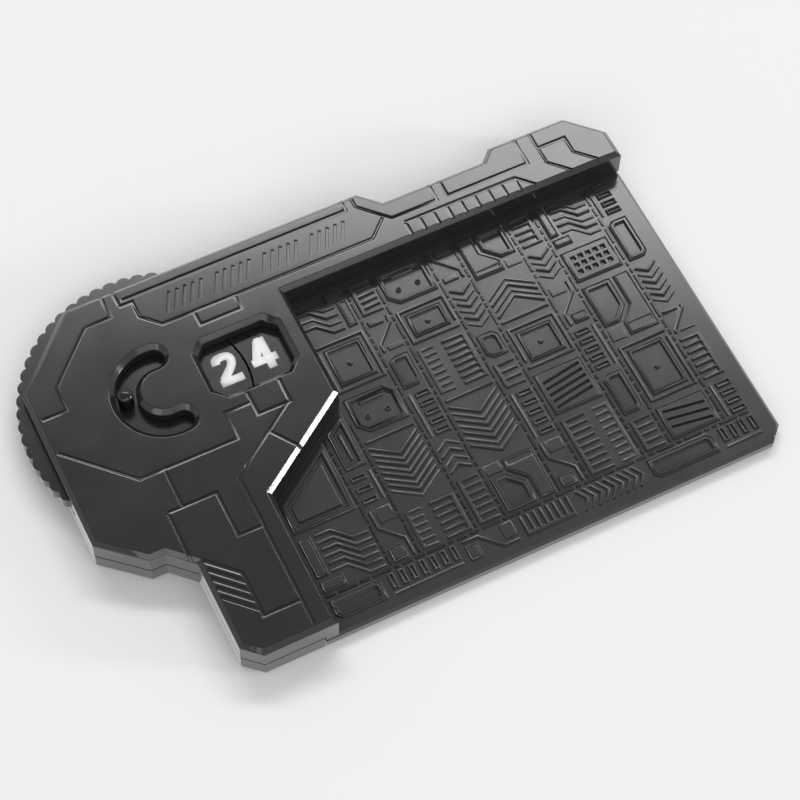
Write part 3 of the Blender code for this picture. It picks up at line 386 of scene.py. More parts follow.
@dataclass(frozen=True)
class EdgeProfile:
    """A 45 degree bevel with softened corners, as (distance from the rim, rise) pairs."""

    size: float
    foot: tuple[tuple[float, float], ...] = ((0.0, 0.0), (0.03, 0.10), (0.11, 0.20))
    head: tuple[tuple[float, float], ...] = ((-0.13, -0.06), (-0.05, -0.015), (0.06, 0.0))

    def steps(self) -> list[tuple[float, float]]:
        """Return the pairs in metres, from the rim to the flat deck."""
        foot = [(d * MM, h * MM) for d, h in self.foot]
        return foot + [(self.size + d * MM, self.size + h * MM) for d, h in self.head]

    def contours(self, rim: np.ndarray) -> list[Contour]:
        """Return the bevel's lines along a rim that has the deck on its left side.

        Args:
            rim: The rim's points, as an (n, 3) array.

        Returns:
            The bevel's closed lines, from the rim up.
        """
        return [
            Contour(outline_offset(rim[:, :2], distance), rim[0, 2] + rise)
            for distance, rise in self.steps()
        ]


@dataclass
class Groove:
    """An engraved line: a path on the deck, half its width and its depth."""

    path: np.ndarray
    half: float = 0.42 * MM
    depth: float = 0.27 * MM

    def stretches(self) -> list[tuple[float, ...]]:
        """Return each straight stretch as start, end, how far it runs past both, half and depth.

        At a corner of turn t both stretches run on by half * tan(t / 2), to the mitre's tip.

        Returns:
            A row of numbers for each stretch.
        """
        run = np.diff(self.path, axis=0)
        run /= np.linalg.norm(run, axis=1, keepdims=True)
        cosine = (run[:-1] * run[1:]).sum(axis=1)
        tip = self.half * np.sqrt((1 - cosine) / (1 + cosine))
        before = np.concatenate(([0.0], tip))
        after = np.concatenate((tip, [0.0]))
        return [
            (*start, *end, low, high, self.half, self.depth)
            for start, end, low, high in zip(self.path[:-1], self.path[1:], before, after)
        ]


@dataclass
class Engraving:
    """Grooves in the deck, each with a narrow floor and sloping sides.

    A point's reach is how far it lies past a groove's edge, in the larger of the two directions
    along and across the nearest stretch, so corners and ends come out square. The falls are the
    shares of the depth at four reaches, from the floor's softened edge to the mouth's.
    """

    rims: list[np.ndarray]
    deck: float
    edge: EdgeProfile
    grooves: list[Groove]
    side: float = 0.24 * MM
    soft: float = 0.08 * MM
    falls: tuple[float, ...] = (1.0, 0.93, 0.07, 0.0)
    fade: float = 0.3 * MM

    def outlines(self) -> list[np.ndarray]:
        """Return four outlines for each groove: soft mouth, mouth, floor and soft floor.

        Returns:
            The outlines, counter-clockwise.
        """
        steps = (self.soft, -self.soft, self.soft - self.side, -self.soft - self.side)
        return [
            ribbon(groove.path, groove.half + step, step)
            for groove in self.grooves for step in steps
        ]

    def base(self, plan: np.ndarray) -> np.ndarray:
        """Return the deck's height without grooves, from each point's distance to the rims.

        The distance to a stretch r of a rim, with o the way from its start to the point, is
        |o - s * r|, where s is o . r / |r|^2, kept within 0 and 1. The least one counts.

        Args:
            plan: Places in the plan, as an (n, 2) array.

        Returns:
            The height at each place.
        """
        reach, rise = np.array(self.edge.steps()).T
        distance = np.full(len(plan), np.inf)
        for rim in self.rims:
            start = rim[:, :2]
            run = np.roll(start, -1, axis=0) - start
            offset = plan[:, None] - start
            share = np.clip((offset * run).sum(axis=2) / (run ** 2).sum(axis=1), 0, 1)
            gap = np.linalg.norm(offset - share[..., None] * run, axis=2).min(axis=1)
            distance = np.minimum(distance, gap)
        return self.deck - rise[-1] + np.interp(distance, reach, rise)

    def depth(self, plan: np.ndarray, height: np.ndarray) -> np.ndarray:
        """Return how deep the grooves are at each point, less and less towards the lower rim.

        A groove falls from none of its depth at the mouth to all of it on the floor, by the
        point's reach, and the deepest groove counts. The result is times the share
        (height - deck + bevel) / fade, kept within 0 and 1.

        Args:
            plan: Places in the plan, as an (n, 2) array.
            height: The deck's height at each place, without grooves.

        Returns:
            The depth at each place.
        """
        table = np.array([row for groove in self.grooves for row in groove.stretches()])
        start, end = table[:, :2], table[:, 2:4]
        before, after, half, full = table[:, 4:].T
        size = np.linalg.norm(end - start, axis=1)
        run = (end - start) / size[:, None]
        along, across = beside(plan, start, run)
        past_end = np.maximum(-along - before, along - size - after)
        past = np.maximum(past_end, across - half)
        reach = (-self.side - self.soft, self.soft - self.side, -self.soft, self.soft)
        fall = np.interp(past, reach, self.falls) * full
        share = np.clip((height - self.deck + self.edge.size) / self.fade, 0, 1)
        return fall.max(axis=1) * share


@dataclass
class Skin:
    """The upper side of a moulded piece, worked out afresh over the frame's own walls.

    The walls below a cut height are the frame's. The skin above them is a triangulation of all
    contours, each vertex at its contour's height, less the depth of the engraved lines there.
    """

    node: str
    cut_height: float
    merge: float = 0.002 * MM

    def __post_init__(self) -> None:
        """Copy the node's walls and find the closed lines where they end."""
        self.shape = bmesh.new()
        self.shape.from_mesh(frame["nodes"][self.node].data)
        bmesh.ops.remove_doubles(self.shape, verts=self.shape.verts, dist=self.merge)
        # The node's own skin: faces with no corner below the cut and one or more above it.
        upper = [
            face for face in self.shape.faces
            if min(v.co.z for v in face.verts) > self.cut_height - self.merge
            and max(v.co.z for v in face.verts) > self.cut_height + self.merge
        ]
        bmesh.ops.delete(self.shape, geom=upper, context="FACES")
        self.rims = self.find_rims()

    def find_rims(self) -> list[np.ndarray]:
        """Find the open rims.

        An open edge belongs to one face, and the skin runs along it the other way round.

        Returns:
            The rims as (n, 3) arrays, each with the skin on its left side.
        """
        after = {}
        for edge in self.shape.edges:
            if len(edge.link_loops) == 1:
                loop = edge.link_loops[0]
                after[loop.link_loop_next.vert] = loop.vert
        rims = []
        while after:
            start, vert = after.popitem()
            rim = [start.co[:]]
            while vert is not start:
                rim.append(vert.co[:])
                vert = after.pop(vert)
            rims.append(np.array(rim))
        return rims

    def finish(
        self, name: str, contours: list[Contour], flat: float, lines: Engraving | None = None
    ) -> bpy.types.Mesh:
        """Triangulate the skin, give it its heights and weld it to the walls.

        Args:
            name: The new mesh's name.
            contours: The closed lines of known height; those at the rims come first.
            flat: The height where no contour says one.
            lines: Engraved lines, which may cross the contours and each other.

        Returns:
            The mesh of the whole piece.
        """
        loops = [contour.points for contour in contours]
        known = np.concatenate([np.full(len(c.points), c.height) for c in contours])
        plan, faces, first = triangulate(loops + (lines.outlines() if lines else []))
        tagged = (first >= 0) & (first < len(known))
        free = lines.base(plan) if lines else np.full(len(plan), flat)
        height = np.where(tagged, known[np.clip(first, 0, len(known) - 1)], free)
        if lines:
            height = height - lines.depth(plan, height)
        faces = faces[inside(plan[faces].mean(axis=1), [rim[:, :2] for rim in self.rims])]
        data = bpy.data.meshes.new(name)
        data.from_pydata(np.column_stack((plan, height)), [], faces)
        self.shape.from_mesh(data)
        bmesh.ops.remove_doubles(self.shape, verts=self.shape.verts, dist=self.merge)
        self.shape.to_mesh(data)
        self.shape.free()
        return data


@dataclass(frozen=True)
class Finish:
    """A finish that drifts in soft clouds between two like colours and two like gloss levels.

    Where the cloud noise is c, the colour is a + c * (b - a), and the roughness goes from the
    middle one less the spread to the middle one plus the spread while c goes from low to high.
    A finer noise gives the grain. Both noises lie in the piece's own axes, at real size.
    """

    name: str
    colour: str
    other_colour: str
    roughness: float
    spread: float
    metallic: float = 0.0
    ior: float = 1.53
    cloud: float = 9 * MM
    cloud_detail: float = 4.0
    cloud_roughness: float = 0.6
    cloud_low: float = 0.3
    cloud_high: float = 0.7
    grain: float = 0.35 * MM
    grain_detail: float = 2.0
    grain_depth: float = 0.004 * MM
    grain_along: float = 1.0

    def make(self) -> bpy.types.Material:
        """Make the material.

        Returns:
            The material.
        """
        surface = bpy.data.materials.new(self.name)
        surface.use_nodes = True
        tree = surface.node_tree
        shader = tree.nodes["Principled BSDF"]
        shader.inputs["Metallic"].default_value = self.metallic
        shader.inputs["IOR"].default_value = self.ior
        place = add_node(tree, "ShaderNodeTexCoord")
        clouds = add_node(
            tree, "ShaderNodeTexNoise",
            {"Scale": 1 / self.cloud, "Detail": self.cloud_detail,
             "Roughness": self.cloud_roughness},
            {"Vector": place.outputs["Object"]},
        )
        tint = add_node(
            tree, "ShaderNodeMix", {"data_type": "RGBA"}, {MIX_FACTOR: clouds.outputs["Fac"]}
        )
        tint.inputs[MIX_A].default_value = linear(self.colour)
        tint.inputs[MIX_B].default_value = linear(self.other_colour)
        rough = add_node(
            tree, "ShaderNodeMapRange",
            {"From Min": self.cloud_low, "From Max": self.cloud_high,
             "To Min": self.roughness - self.spread, "To Max": self.roughness + self.spread},
            {"Value": clouds.outputs["Fac"]},
        )
        run = add_node(
            tree, "ShaderNodeMapping", {"Scale": (self.grain_along, 1.0, 1.0)},
            {"Vector": place.outputs["Object"]},
        )
        grain = add_node(
            tree, "ShaderNodeTexNoise", {"Scale": 1 / self.grain, "Detail": self.grain_detail},
            {"Vector": run.outputs["Vector"]},
        )
        bump = add_node(
            tree, "ShaderNodeBump", {"Distance": self.grain_depth, "Strength": 1.0},
            {"Height": grain.outputs["Fac"]},
        )
        tree.links.new(tint.outputs[MIX_RESULT], shader.inputs["Base Color"])
        tree.links.new(rough.outputs["Result"], shader.inputs["Roughness"])
        tree.links.new(bump.outputs["Normal"], shader.inputs["Normal"])
        return surface


@dataclass(frozen=True)
class MouldedPlastic(Finish):
    """ABS moulded in a polished steel tool, black all through, with a fine mould grain.

    Light comes back from the skin more than from the body, so the grey that the eye sees is the
    room's reflection, broken up a little by the grain and by handling.
    """


@dataclass(frozen=True)
class PrintedInk(Finish):
    """Pad-printed ink: an even chalky coat that spreads the light instead of mirroring it."""

    grain: float = 0.15 * MM
    grain_depth: float = 0.003 * MM


@dataclass(frozen=True)
class MouldedRubber(Finish):
    """Compression-moulded rubber: a dull mottled skin, coarse enough to drink the light."""

    grain: float = 0.2 * MM
    grain_depth: float = 0.02 * MM


@dataclass(frozen=True)
class ZincPlatedSteel(Finish):
    """Rolled steel under a thin bright zinc coat: silvery, with dull spots and fine brush lines.

    The lines are a grain that is drawn out along X.
    """

    metallic: float = 1.0
    ior: float = 1.5
    cloud: float = 1.2 * MM
    cloud_detail: float = 3.0
    cloud_roughness: float = 0.5
    grain: float = 0.12 * MM
    grain_detail: float = 1.0
    grain_depth: float = 0.002 * MM
    grain_along: float = 0.05


class Material(Enum):
    """The finishes of the pad, each made once."""

    # Injection-moulded ABS off a polished tool: a dark skin that mirrors the room in soft greys.
    SHELL = MouldedPlastic("moulded_abs_shell", "222023", "282629", 0.15, 0.015)
    # The same plastic as the shell, painted a shade paler: painted light that stands in for the light
    # its dense relief throws back, so that the relief reads.
    PLATE = MouldedPlastic("polished_abs_plate", "302E31", "363437", 0.16, 0.015)
    # Moulded off a finer tool without polish: near-black, so that the digits stand out.
    DIAL = MouldedPlastic("satin_moulded_dial", "1D1B1E", "232124", 0.17, 0.015)
    # A turned and polished knob: the deepest black, with a small sharp highlight on its dome.
    PEG = MouldedPlastic("polished_abs_peg", "171718", "1C1C1D", 0.16, 0.02)
    # Pad-printed on the dials: a flat white with hardly any reflection.
    INK = PrintedInk("pad_printed_white_ink", "FBFBFA", "F3F3F1", 0.50, 0.05)
    # Compression-moulded feet: the one dull black, which shows no room at all.
    RUBBER = MouldedRubber("moulded_black_rubber", "161616", "232322", 0.75, 0.08)
    # Zinc plating on rolled steel: the one silvery glint, from below and inside.
    STEEL = ZincPlatedSteel("zinc_plated_steel", "C4C6C9", "9EA0A3", 0.32, 0.08)

    @property
    def surface(self) -> bpy.types.Material:
        """The Blender material, made the first time that it is asked for."""
        found = bpy.data.materials.get(self.value.name)
        return found or self.value.make()


@dataclass
class Housing:
    """The two moulded covers: a deck with bevelled edges, openings and engraved panel lines.

    The line shares are the panel lines' corners, as shares of the length and width of what they
    are laid over: the housing left of the card field, the whole deck, or the strip.
    """

    cut_height: float = 7.9 * MM
    edge_bevel: float = 0.95 * MM
    opening_bevel: float = 1.0 * MM
    leg_left: float = 8.35 * MM
    shoulder_front: float = 33.8 * MM
    vent_pitch: float = 1.9 * MM
    vent_length: float = 5.2 * MM
    vent_half: float = 0.5 * MM
    vent_count: int = 5
    tooth_pitch: float = 2.85 * MM
    tooth_count: int = 9
    tooth_start_share: float = 0.377
    tooth_reach_shares: tuple[float, float] = (0.04, 0.275)
    hatch_left: float = 7.0 * MM
    hatch_front: float = 14.2 * MM
    hatch_height: float = 4.2 * MM
    hatch_slant: float = 0.5
    hatch_pitch: float = 1.6 * MM
    hatch_groups: int = 4
    hatch_bars: int = 5
    hatch_half: float = 0.4 * MM
    hatch_depth: float = 0.3 * MM

    housing_line_shares: tuple[Shares, ...] = (
        ((0.40, 1.01), (0.40, 0.933), (0.30, 0.933), (0.12, 0.813), (0.12, 0.746),
         (0.027, 0.746)),
        ((0.445, 1.01), (0.445, 0.956)),
        ((0.027, 0.652), (0.24, 0.51), (0.604, 0.51), (0.604, 0.583), (0.71, 0.583)),
        ((0.71, 0.613), (0.71, 0.547), (0.832, 0.547), (0.832, 0.613)),
        ((0.826, 0.549), (0.61, 0.448), (0.549, 0.415), (0.549, 0.016)),
        ((0.715, 0.497), (0.793, 0.424)),
        ((0.331, 0.51), (0.331, 0.405)),
        ((0.275, 0.405), (0.456, 0.405), (0.456, 0.285), (0.549, 0.285)),
        ((0.275, 0.405), (0.275, 0.262)),
        ((0.411, 0.20), (0.411, 0.083), (0.549, 0.083)),
    )
    deck_line_shares: tuple[Shares, ...] = (
        ((0.195, 0.964), (0.567, 0.964), (0.567, 1.01)),
        ((0.187, 0.95), (0.208, 0.95), (0.208, 0.904), (0.234, 0.863), (0.583, 0.863),
         (0.613, 0.908)),
        ((0.285, 0.863), (0.285, 0.823), (0.351, 0.823), (0.351, 0.863)),
    )
    strip_line_shares: tuple[Shares, ...] = (
        ((0.278, 1.06), (0.278, 0.795), (0.351, 0.414), (0.485, 0.414), (0.485, 0.795)),
        ((0.516, 0.795), (0.516, 0.414), (0.757, 0.414), (0.757, 0.97)),
        ((0.803, 0.97), (0.803, 0.31), (0.855, 0.04)),
        ((0.803, 0.575), (0.884, 0.575), (0.884, 0.31), (0.936, 0.04)),
        ((0.377, 0.275), (0.702, 0.275), (0.746, 0.048)),
    )

    def __post_init__(self) -> None:
        """Read the top cover's box from the frame."""
        low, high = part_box("top_cover")
        self.low = np.array(low[:2])
        self.size = np.array(high[:2]) - self.low
        self.deck = high[2]

    def deck_path(self, shares: Shares) -> np.ndarray:
        """Place shares over the whole deck."""
        return self.low + np.array(shares) * self.size

    def housing_path(self, shares: Shares) -> np.ndarray:
        """Place shares over the housing, left of the card field."""
        width = AXIS[0] + FIELD_LEFT - self.low[0]
        return self.low + np.array(shares) * (width, self.size[1])

    def strip_path(self, shares: Shares) -> np.ndarray:
        """Place shares over the strip behind the card field."""
        start = AXIS + (FIELD_LEFT, STRIP_FRONT)
        return start + np.array(shares) * (self.low + self.size - start)

    def grooves(self) -> list[Groove]:
        """Return the panel lines, the teeth, the vent bars and the strip's plain hatching.

        Returns:
            The grooves.
        """
        found = [Groove(self.deck_path(line)) for line in self.deck_line_shares]
        found += [Groove(self.housing_path(line)) for line in self.housing_line_shares]
        found += [Groove(self.strip_path(line)) for line in self.strip_line_shares]
        tooth = self.strip_path(tuple((self.tooth_start_share, v)
                                      for v in self.tooth_reach_shares))
        found += [
            Groove(tooth + (self.tooth_pitch * k, 0)) for k in range(self.tooth_count)
        ]
        vent = AXIS + np.array((
            (self.edge_bevel - self.leg_left, -self.shoulder_front),
            (self.edge_bevel - self.leg_left + self.vent_length,
             -self.shoulder_front - self.vent_length),
        ))
        found += [
            Groove(vent - (0, self.vent_pitch * k), self.vent_half)
            for k in range(self.vent_count)
        ]
        bar = AXIS + (self.hatch_left, self.hatch_front) + self.hatch_height * np.array(
            ((0.0, 0.0), (self.hatch_slant, 1.0))
        )
        for group in range(self.hatch_groups):
            for k in range(self.hatch_bars):
                shift = self.hatch_pitch * (k + group * (self.hatch_bars + 1))
                found.append(Groove(bar + (shift, 0), self.hatch_half, self.hatch_depth))
        return found

    def top(self) -> bpy.types.Object:
        """Build the top cover.

        Returns:
            The piece that stands for the frame's top cover.
        """
        skin = Skin("top_cover", self.cut_height)
        edge = EdgeProfile(self.edge_bevel)
        opening = EdgeProfile(self.opening_bevel)
        contours = []
        # The outer edge and the openings have bevels of unlike size, which a rim's depth tells.
        for rim in skin.rims:
            size = self.deck - rim[0, 2]
            profile = edge if abs(size - edge.size) < abs(size - opening.size) else opening
            contours += profile.contours(rim)
        engraving = Engraving(skin.rims, self.deck, edge, self.grooves())
        data = skin.finish("top_cover_shell", contours, self.deck, engraving)
        cover = new_piece("top_cover_shell", data, Material.SHELL.surface, "housing")
        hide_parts("top_cover")
        return cover

    def build(self) -> list[bpy.types.Object]:
        """Build the top cover and dress the bottom one.

        Returns:
            The new pieces.
        """
        dress(frame["nodes"]["bottom_cover"], Material.SHELL.surface)
        return [self.top()]


class Level(Enum):
    """Heights of the card field, above its flat lanes."""

    LOW = -0.20 * MM
    LANE = 0.0
    MID = 0.25 * MM
    HIGH = 0.45 * MM


@dataclass
class Step:
    """A closed outline at which the card field changes from one level to another."""

    outline: np.ndarray
    outside: Level = Level.LANE
    within: Level = Level.HIGH
    draft: float = 0.18 * MM
    soft: float = 0.045 * MM
    turn: float = 0.10

    def has_room(self, distance: float) -> bool:
        """Tell whether the outline, moved inwards by a distance, still runs the same way.

        Args:
            distance: How far the outline is moved.

        Returns:
            True if no edge turns round on the way.
        """
        moved = outline_offset(self.outline, distance)
        runs = [np.roll(line, -1, axis=0) - line for line in (self.outline, moved)]
        return bool(((runs[0] * runs[1]).sum(axis=1) > 0).all())

    def contours(self, lane: float) -> list[Contour]:
        """Return the sloping side's lines: its foot, its lower and upper turn, and its head.

        A line of a given share lies at lane + outside + share * (within - outside).

        Args:
            lane: The height of the field's flat lanes.

        Returns:
            The side's closed lines, from its foot to its head.
        """
        rise = self.within.value - self.outside.value
        start = lane + self.outside.value
        steps = ((-self.soft, 0.0), (self.soft, self.turn),
                 (self.draft - self.soft, 1 - self.turn), (self.draft + self.soft, 1.0))
        return [
            Contour(outline_offset(self.outline, distance), start + share * rise)
            for distance, share in steps
        ]


Motif = Callable[[float, float], list[Step]]
Cell = tuple[float, float, float, float, bool]


def rectangle(left: float, front: float, length: float, width: float) -> np.ndarray:
    """Return a rectangle's corners, counter-clockwise.

    Args:
        left: Its left side.
        front: Its front.
        length: Its size along X.
        width: Its size along Y.

    Returns:
        The corners, as a (4, 2) array.
    """
    return np.array([(left, front), (left + length, front), (left + length, front + width),
                     (left, front + width)])


def clipped(left: float, front: float, length: float, width: float, clip: float) -> np.ndarray:
    """Return a rectangle whose front left and back right corners are cut at 45 degrees.

    Args:
        left: Its left side.
        front: Its front.
        length: Its size along X.
        width: Its size along Y.
        clip: How far the cuts reach along the sides.

    Returns:
        The corners, counter-clockwise, as a (6, 2) array.
    """
    right, back = left + length, front + width
    return np.array([(left + clip, front), (right, front), (right, back - clip),
                     (right - clip, back), (left, back), (left, front + clip)])


def octagon(x: float, y: float, radius: float) -> np.ndarray:
    """Return a regular octagon's corners, counter-clockwise."""
    angle = (np.arange(8) + 0.5) * math.tau / 8
    return np.column_stack((x + radius * np.cos(angle), y + radius * np.sin(angle)))


@dataclass
class Motifs:
    """Raised and sunk shapes for a cell of the card field, in the cell's own axes.

    Each method takes the cell's length and width. The layout is the frame's, with finer bars.
    """

    bar: float = 0.66 * MM
    gap: float = 0.55 * MM
    sill: float = 0.92 * MM
    pitch: float = 1.3 * MM
    stud: float = 0.62 * MM
    stud_places: tuple[float, ...] = (1 / 4, 3 / 4)
    stud_row: float = 3 / 8
    dish_share: float = 0.45
    dish_draft: float = 0.10 * MM
    least_pocket: float = 2.9 * MM

    def spaced(self, room: float) -> list[float]:
        """Return places from zero to the end of a room, evenly spaced by a pitch or more.

        Args:
            room: The room's size.

        Returns:
            The places.
        """
        count = math.floor(room / self.pitch)
        return [room * k / count for k in range(count + 1)] if count > 0 else [room / 2]

    def studs(self, left: float, front: float, length: float, width: float) -> list[Step]:
        """Return dished studs in a row along a pocket's middle, and a bar behind them.

        Args:
            left: The pocket's left side.
            front: The pocket's front.
            length: The pocket's size along X.
            width: The pocket's size along Y.

        Returns:
            The steps, or none where the pocket is small.
        """
        if min(length, width) < self.least_pocket:
            return []
        steps = []
        y = front + width * self.stud_row
        for share in self.stud_places:
            x = left + length * share
            steps += [
                Step(octagon(x, y, self.stud), Level.LOW, Level.MID),
                Step(octagon(x, y, self.stud * self.dish_share), Level.MID, Level.LOW,
                     self.dish_draft),
            ]
        back = front + width - self.gap - self.bar
        if back > y + self.stud + self.gap:
            bar = rectangle(left + length / 5, back, length * 3 / 5, self.bar)
            steps.append(Step(bar, Level.LOW, Level.HIGH))
        return steps

    def hatch(self, length: float, width: float) -> list[Step]:
        """A clipped plate with a pocket, which holds studs where it is large.

        Args:
            length: The cell's size along X.
            width: The cell's size along Y.

        Returns:
            The steps, from the cell's front left corner.
        """
        clip = min(length, width) / 4
        inner = (length - 2 * self.sill, width - 2 * self.sill)
        return [
            Step(clipped(0, 0, length, width, clip)),
            Step(clipped(self.sill, self.sill, *inner, clip / 2), Level.HIGH, Level.LOW),
        ] + self.studs(self.sill, self.sill, *inner)

    def louvre(self, length: float, width: float) -> list[Step]:
        """A plate with slanted slots.

        Args:
            length: The cell's size along X.
            width: The cell's size along Y.

        Returns:
            The steps, from the cell's front left corner.
        """
        slant = length / 8
        steps = [Step(rectangle(0, 0, length, width))]
        for y in self.spaced(width - 2 * self.sill - slant - self.bar):
            start = self.sill + y
            end = start + slant
            slot = np.array([(self.sill, start), (length - self.sill, end),
                             (length - self.sill, end + self.bar), (self.sill, start + self.bar)])
            steps.append(Step(slot, Level.HIGH, Level.LOW))
        return steps

    def stairs(self, length: float, width: float) -> list[Step]:
        """A cranked plate beside a second one with a pocket, and a block in the corner.

        Args:
            length: The cell's size along X.
            width: The cell's size along Y.

        Returns:
            The steps, from the cell's front left corner.
        """
        wide, slim, low = length * 5 / 8, length / 3, width / 4
        high = low + wide - slim
        gap = self.gap
        second = np.array([(slim + gap, high + gap / 2), (wide + gap, low + gap / 2),
                           (length, low + gap / 2), (length, width), (slim + gap, width)])
        steps = [
            Step(np.array([(0, 0), (wide, 0), (wide, low), (slim, high), (slim, width),
                           (0, width)])),
            Step(second),
            Step(rectangle(wide + gap, 0, length - wide - gap, low - gap / 2),
                 Level.LANE, Level.MID),
        ]
        if width - high > self.least_pocket and length - slim > self.least_pocket:
            steps.append(Step(outline_offset(second, self.sill), Level.HIGH, Level.LOW))
        notch = low - 2 * self.bar
        if notch > self.bar:
            steps.append(Step(rectangle(self.bar, self.bar, wide - 2 * self.bar, notch),
                              Level.HIGH, Level.MID))
        return steps

    def arrows(self, length: float, width: float, start: float = 0.0) -> list[Step]:
        """Arrowheads one behind the other, in two heights by turns.

        Args:
            length: The cell's size along X.
            width: The cell's size along Y.
            start: How far behind the cell's front the first one stands.

        Returns:
            The steps, from the cell's front left corner.
        """
        rise = length / 3
        steps = []
        for k, y in enumerate(self.spaced(width - start - rise - self.bar)):
            low = start + self.bar / 2 + y
            path = np.array([(0, low), (length / 2, low + rise), (length, low)])
            steps.append(Step(ribbon(path, self.bar / 2), Level.LANE,
                              Level.MID if k % 2 else Level.HIGH))
        return steps

    def chevrons(self, length: float, width: float) -> list[Step]:
        """Arrowheads behind a foot bar.

        Args:
            length: The cell's size along X.
            width: The cell's size along Y.

        Returns:
            The steps, from the cell's front left corner.
        """
        foot = Step(rectangle(0, 0, length, self.bar))
        return [foot] + self.arrows(length, width, self.bar + self.gap)

    def comb(self, reach: float, width: float) -> np.ndarray:
        """Return a rail along the left side whose teeth have a given reach.

        Args:
            reach: How far the teeth reach.
            width: The rail's length.

        Returns:
            The outline, counter-clockwise.
        """
        points = [(0, 0)]
        for y in self.spaced(width - self.bar):
            points += [(self.sill, y), (reach, y), (reach, y + self.bar),
                       (self.sill, y + self.bar)]
        return np.array([points[0]] + points[2:-1] + [(0, width)])

    def ladder(self, length: float, width: float) -> list[Step]:
        """A comb across the whole cell.

        Args:
            length: The cell's size along X.
            width: The cell's size along Y.

        Returns:
            The steps, from the cell's front left corner.
        """
        return [Step(self.comb(length, width))]

    def combs(self, length: float, width: float) -> list[Step]:
        """Two combs that face each other.

        Args:
            length: The cell's size along X.
            width: The cell's size along Y.

        Returns:
            The steps, from the cell's front left corner.
        """
        short = self.comb(length / 3, width)[::-1] * (-1, 1) + (length, 0)
        return [Step(self.comb(length / 2, width)), Step(short, Level.LANE, Level.MID)]

    def hook(self, length: float, width: float) -> list[Step]:
        """A rib that turns inwards round a block with a pocket.

        Args:
            length: The cell's size along X.
            width: The cell's size along Y.

        Returns:
            The steps, from the cell's front left corner.
        """
        half = self.bar / 2
        turn = self.bar + self.gap
        path = np.array([(length, half), (half, half), (half, width - half),
                         (length - half, width - half), (length - half, half + turn)])
        inner = (length - 2 * turn, width - 2 * turn)
        steps = [Step(ribbon(path, half)), Step(rectangle(turn, turn, *inner))]
        if min(inner) > self.least_pocket - self.gap:
            pocket = rectangle(turn + self.bar, turn + self.bar, inner[0] - 2 * self.bar,
                               inner[1] - 2 * self.bar)
            steps.append(Step(pocket, Level.HIGH, Level.LOW))
            if min(inner) > self.least_pocket + self.bar:
                x, y = turn + inner[0] / 2, turn + inner[1] / 2
                steps.append(Step(octagon(x, y, self.stud), Level.LOW, Level.MID))
        return steps

    def lattice(self, length: float, width: float) -> list[Step]:
        """A plate with rows of square pockets.

        Args:
            length: The cell's size along X.
            width: The cell's size along Y.

        Returns:
            The steps, from the cell's front left corner.
        """
        size = self.pitch - self.gap / 2
        step = size + self.gap
        columns = max(1, math.floor((length - 2 * self.sill + self.gap) / step))
        rows = max(1, math.floor((width - 2 * self.sill + self.gap) / step))
        left = (length - columns * step + self.gap) / 2
        front = (width - rows * step + self.gap) / 2
        return [Step(rectangle(0, 0, length, width))] + [
            Step(rectangle(left + step * i, front + step * j, size, size), Level.HIGH, Level.LOW)
            for i in range(columns) for j in range(rows)
        ]

    def traces(self, length: float, width: float) -> list[Step]:
        """Ribs with a jog, a pad that they run to and a block below it.

        Args:
            length: The cell's size along X.
            width: The cell's size along Y.

        Returns:
            The steps, from the cell's front left corner.
        """
        jog, pad, half = length / 4, length / 5, self.bar / 2
        steps = []
        for k, y in enumerate(self.spaced(width - jog - self.bar)):
            low = half + y
            path = np.array([(0, low), (length / 4, low), (length / 4 + jog, low + jog),
                             (length - pad - self.gap, low + jog)])
            steps.append(Step(ribbon(path, half), Level.LANE, Level.HIGH if k % 2 else Level.MID))
        steps.append(Step(rectangle(length - pad, jog, pad, width - jog)))
        steps.append(Step(rectangle(length * 5 / 8, 0, length * 3 / 8, jog - self.gap)))
        return steps

    def crank(self, length: float, width: float) -> list[Step]:
        """A rib with a crank, and a block on either side of it.

        Args:
            length: The cell's size along X.
            width: The cell's size along Y.

        Returns:
            The steps, from the cell's front left corner.
        """
        half = self.bar / 2
        bend = length / 2 - half
        middle = width / 2
        path = np.array([(half, 0), (half, middle - bend), (length - half, middle + bend),
                         (length - half, width)])
        edge = self.bar + self.gap
        reach = max(middle - bend - self.gap, self.bar)
        return [
            Step(ribbon(path, half)),
            Step(rectangle(edge, 0, length - edge, reach)),
            Step(rectangle(0, width - reach, length - edge, reach), Level.LANE, Level.MID),
        ]

    def pips(self, length: float, width: float) -> list[Step]:
        """A column of dished blocks beside a rail.

        Args:
            length: The cell's size along X.
            width: The cell's size along Y.

        Returns:
            The steps, from the cell's front left corner.
        """
        size = self.pitch
        left = self.bar + self.gap
        inset = self.bar / 2
        steps = [Step(rectangle(0, 0, self.bar, width), Level.LANE, Level.MID)]
        count = max(1, math.floor((width + self.gap) / (size + self.gap)))
        step = (width - size) / max(1, count - 1)
        for k in range(count):
            steps.append(Step(rectangle(left, step * k, length - left, size)))
            dish = rectangle(left + inset, step * k + inset, length - left - 2 * inset,
                             size - 2 * inset)
            steps.append(Step(dish, Level.HIGH, Level.LANE))
        return steps

    def knee(self, outline: np.ndarray) -> list[Step]:
        """A plate along the housing's slanting wall, with a pocket and a block in it.

        Args:
            outline: The plate's outline, counter-clockwise.

        Returns:
            The steps.
        """
        return [
            Step(outline),
            Step(outline_offset(outline, self.sill), Level.HIGH, Level.LOW),
            Step(outline_offset(outline, 2 * self.sill), Level.LOW, Level.MID),
        ]


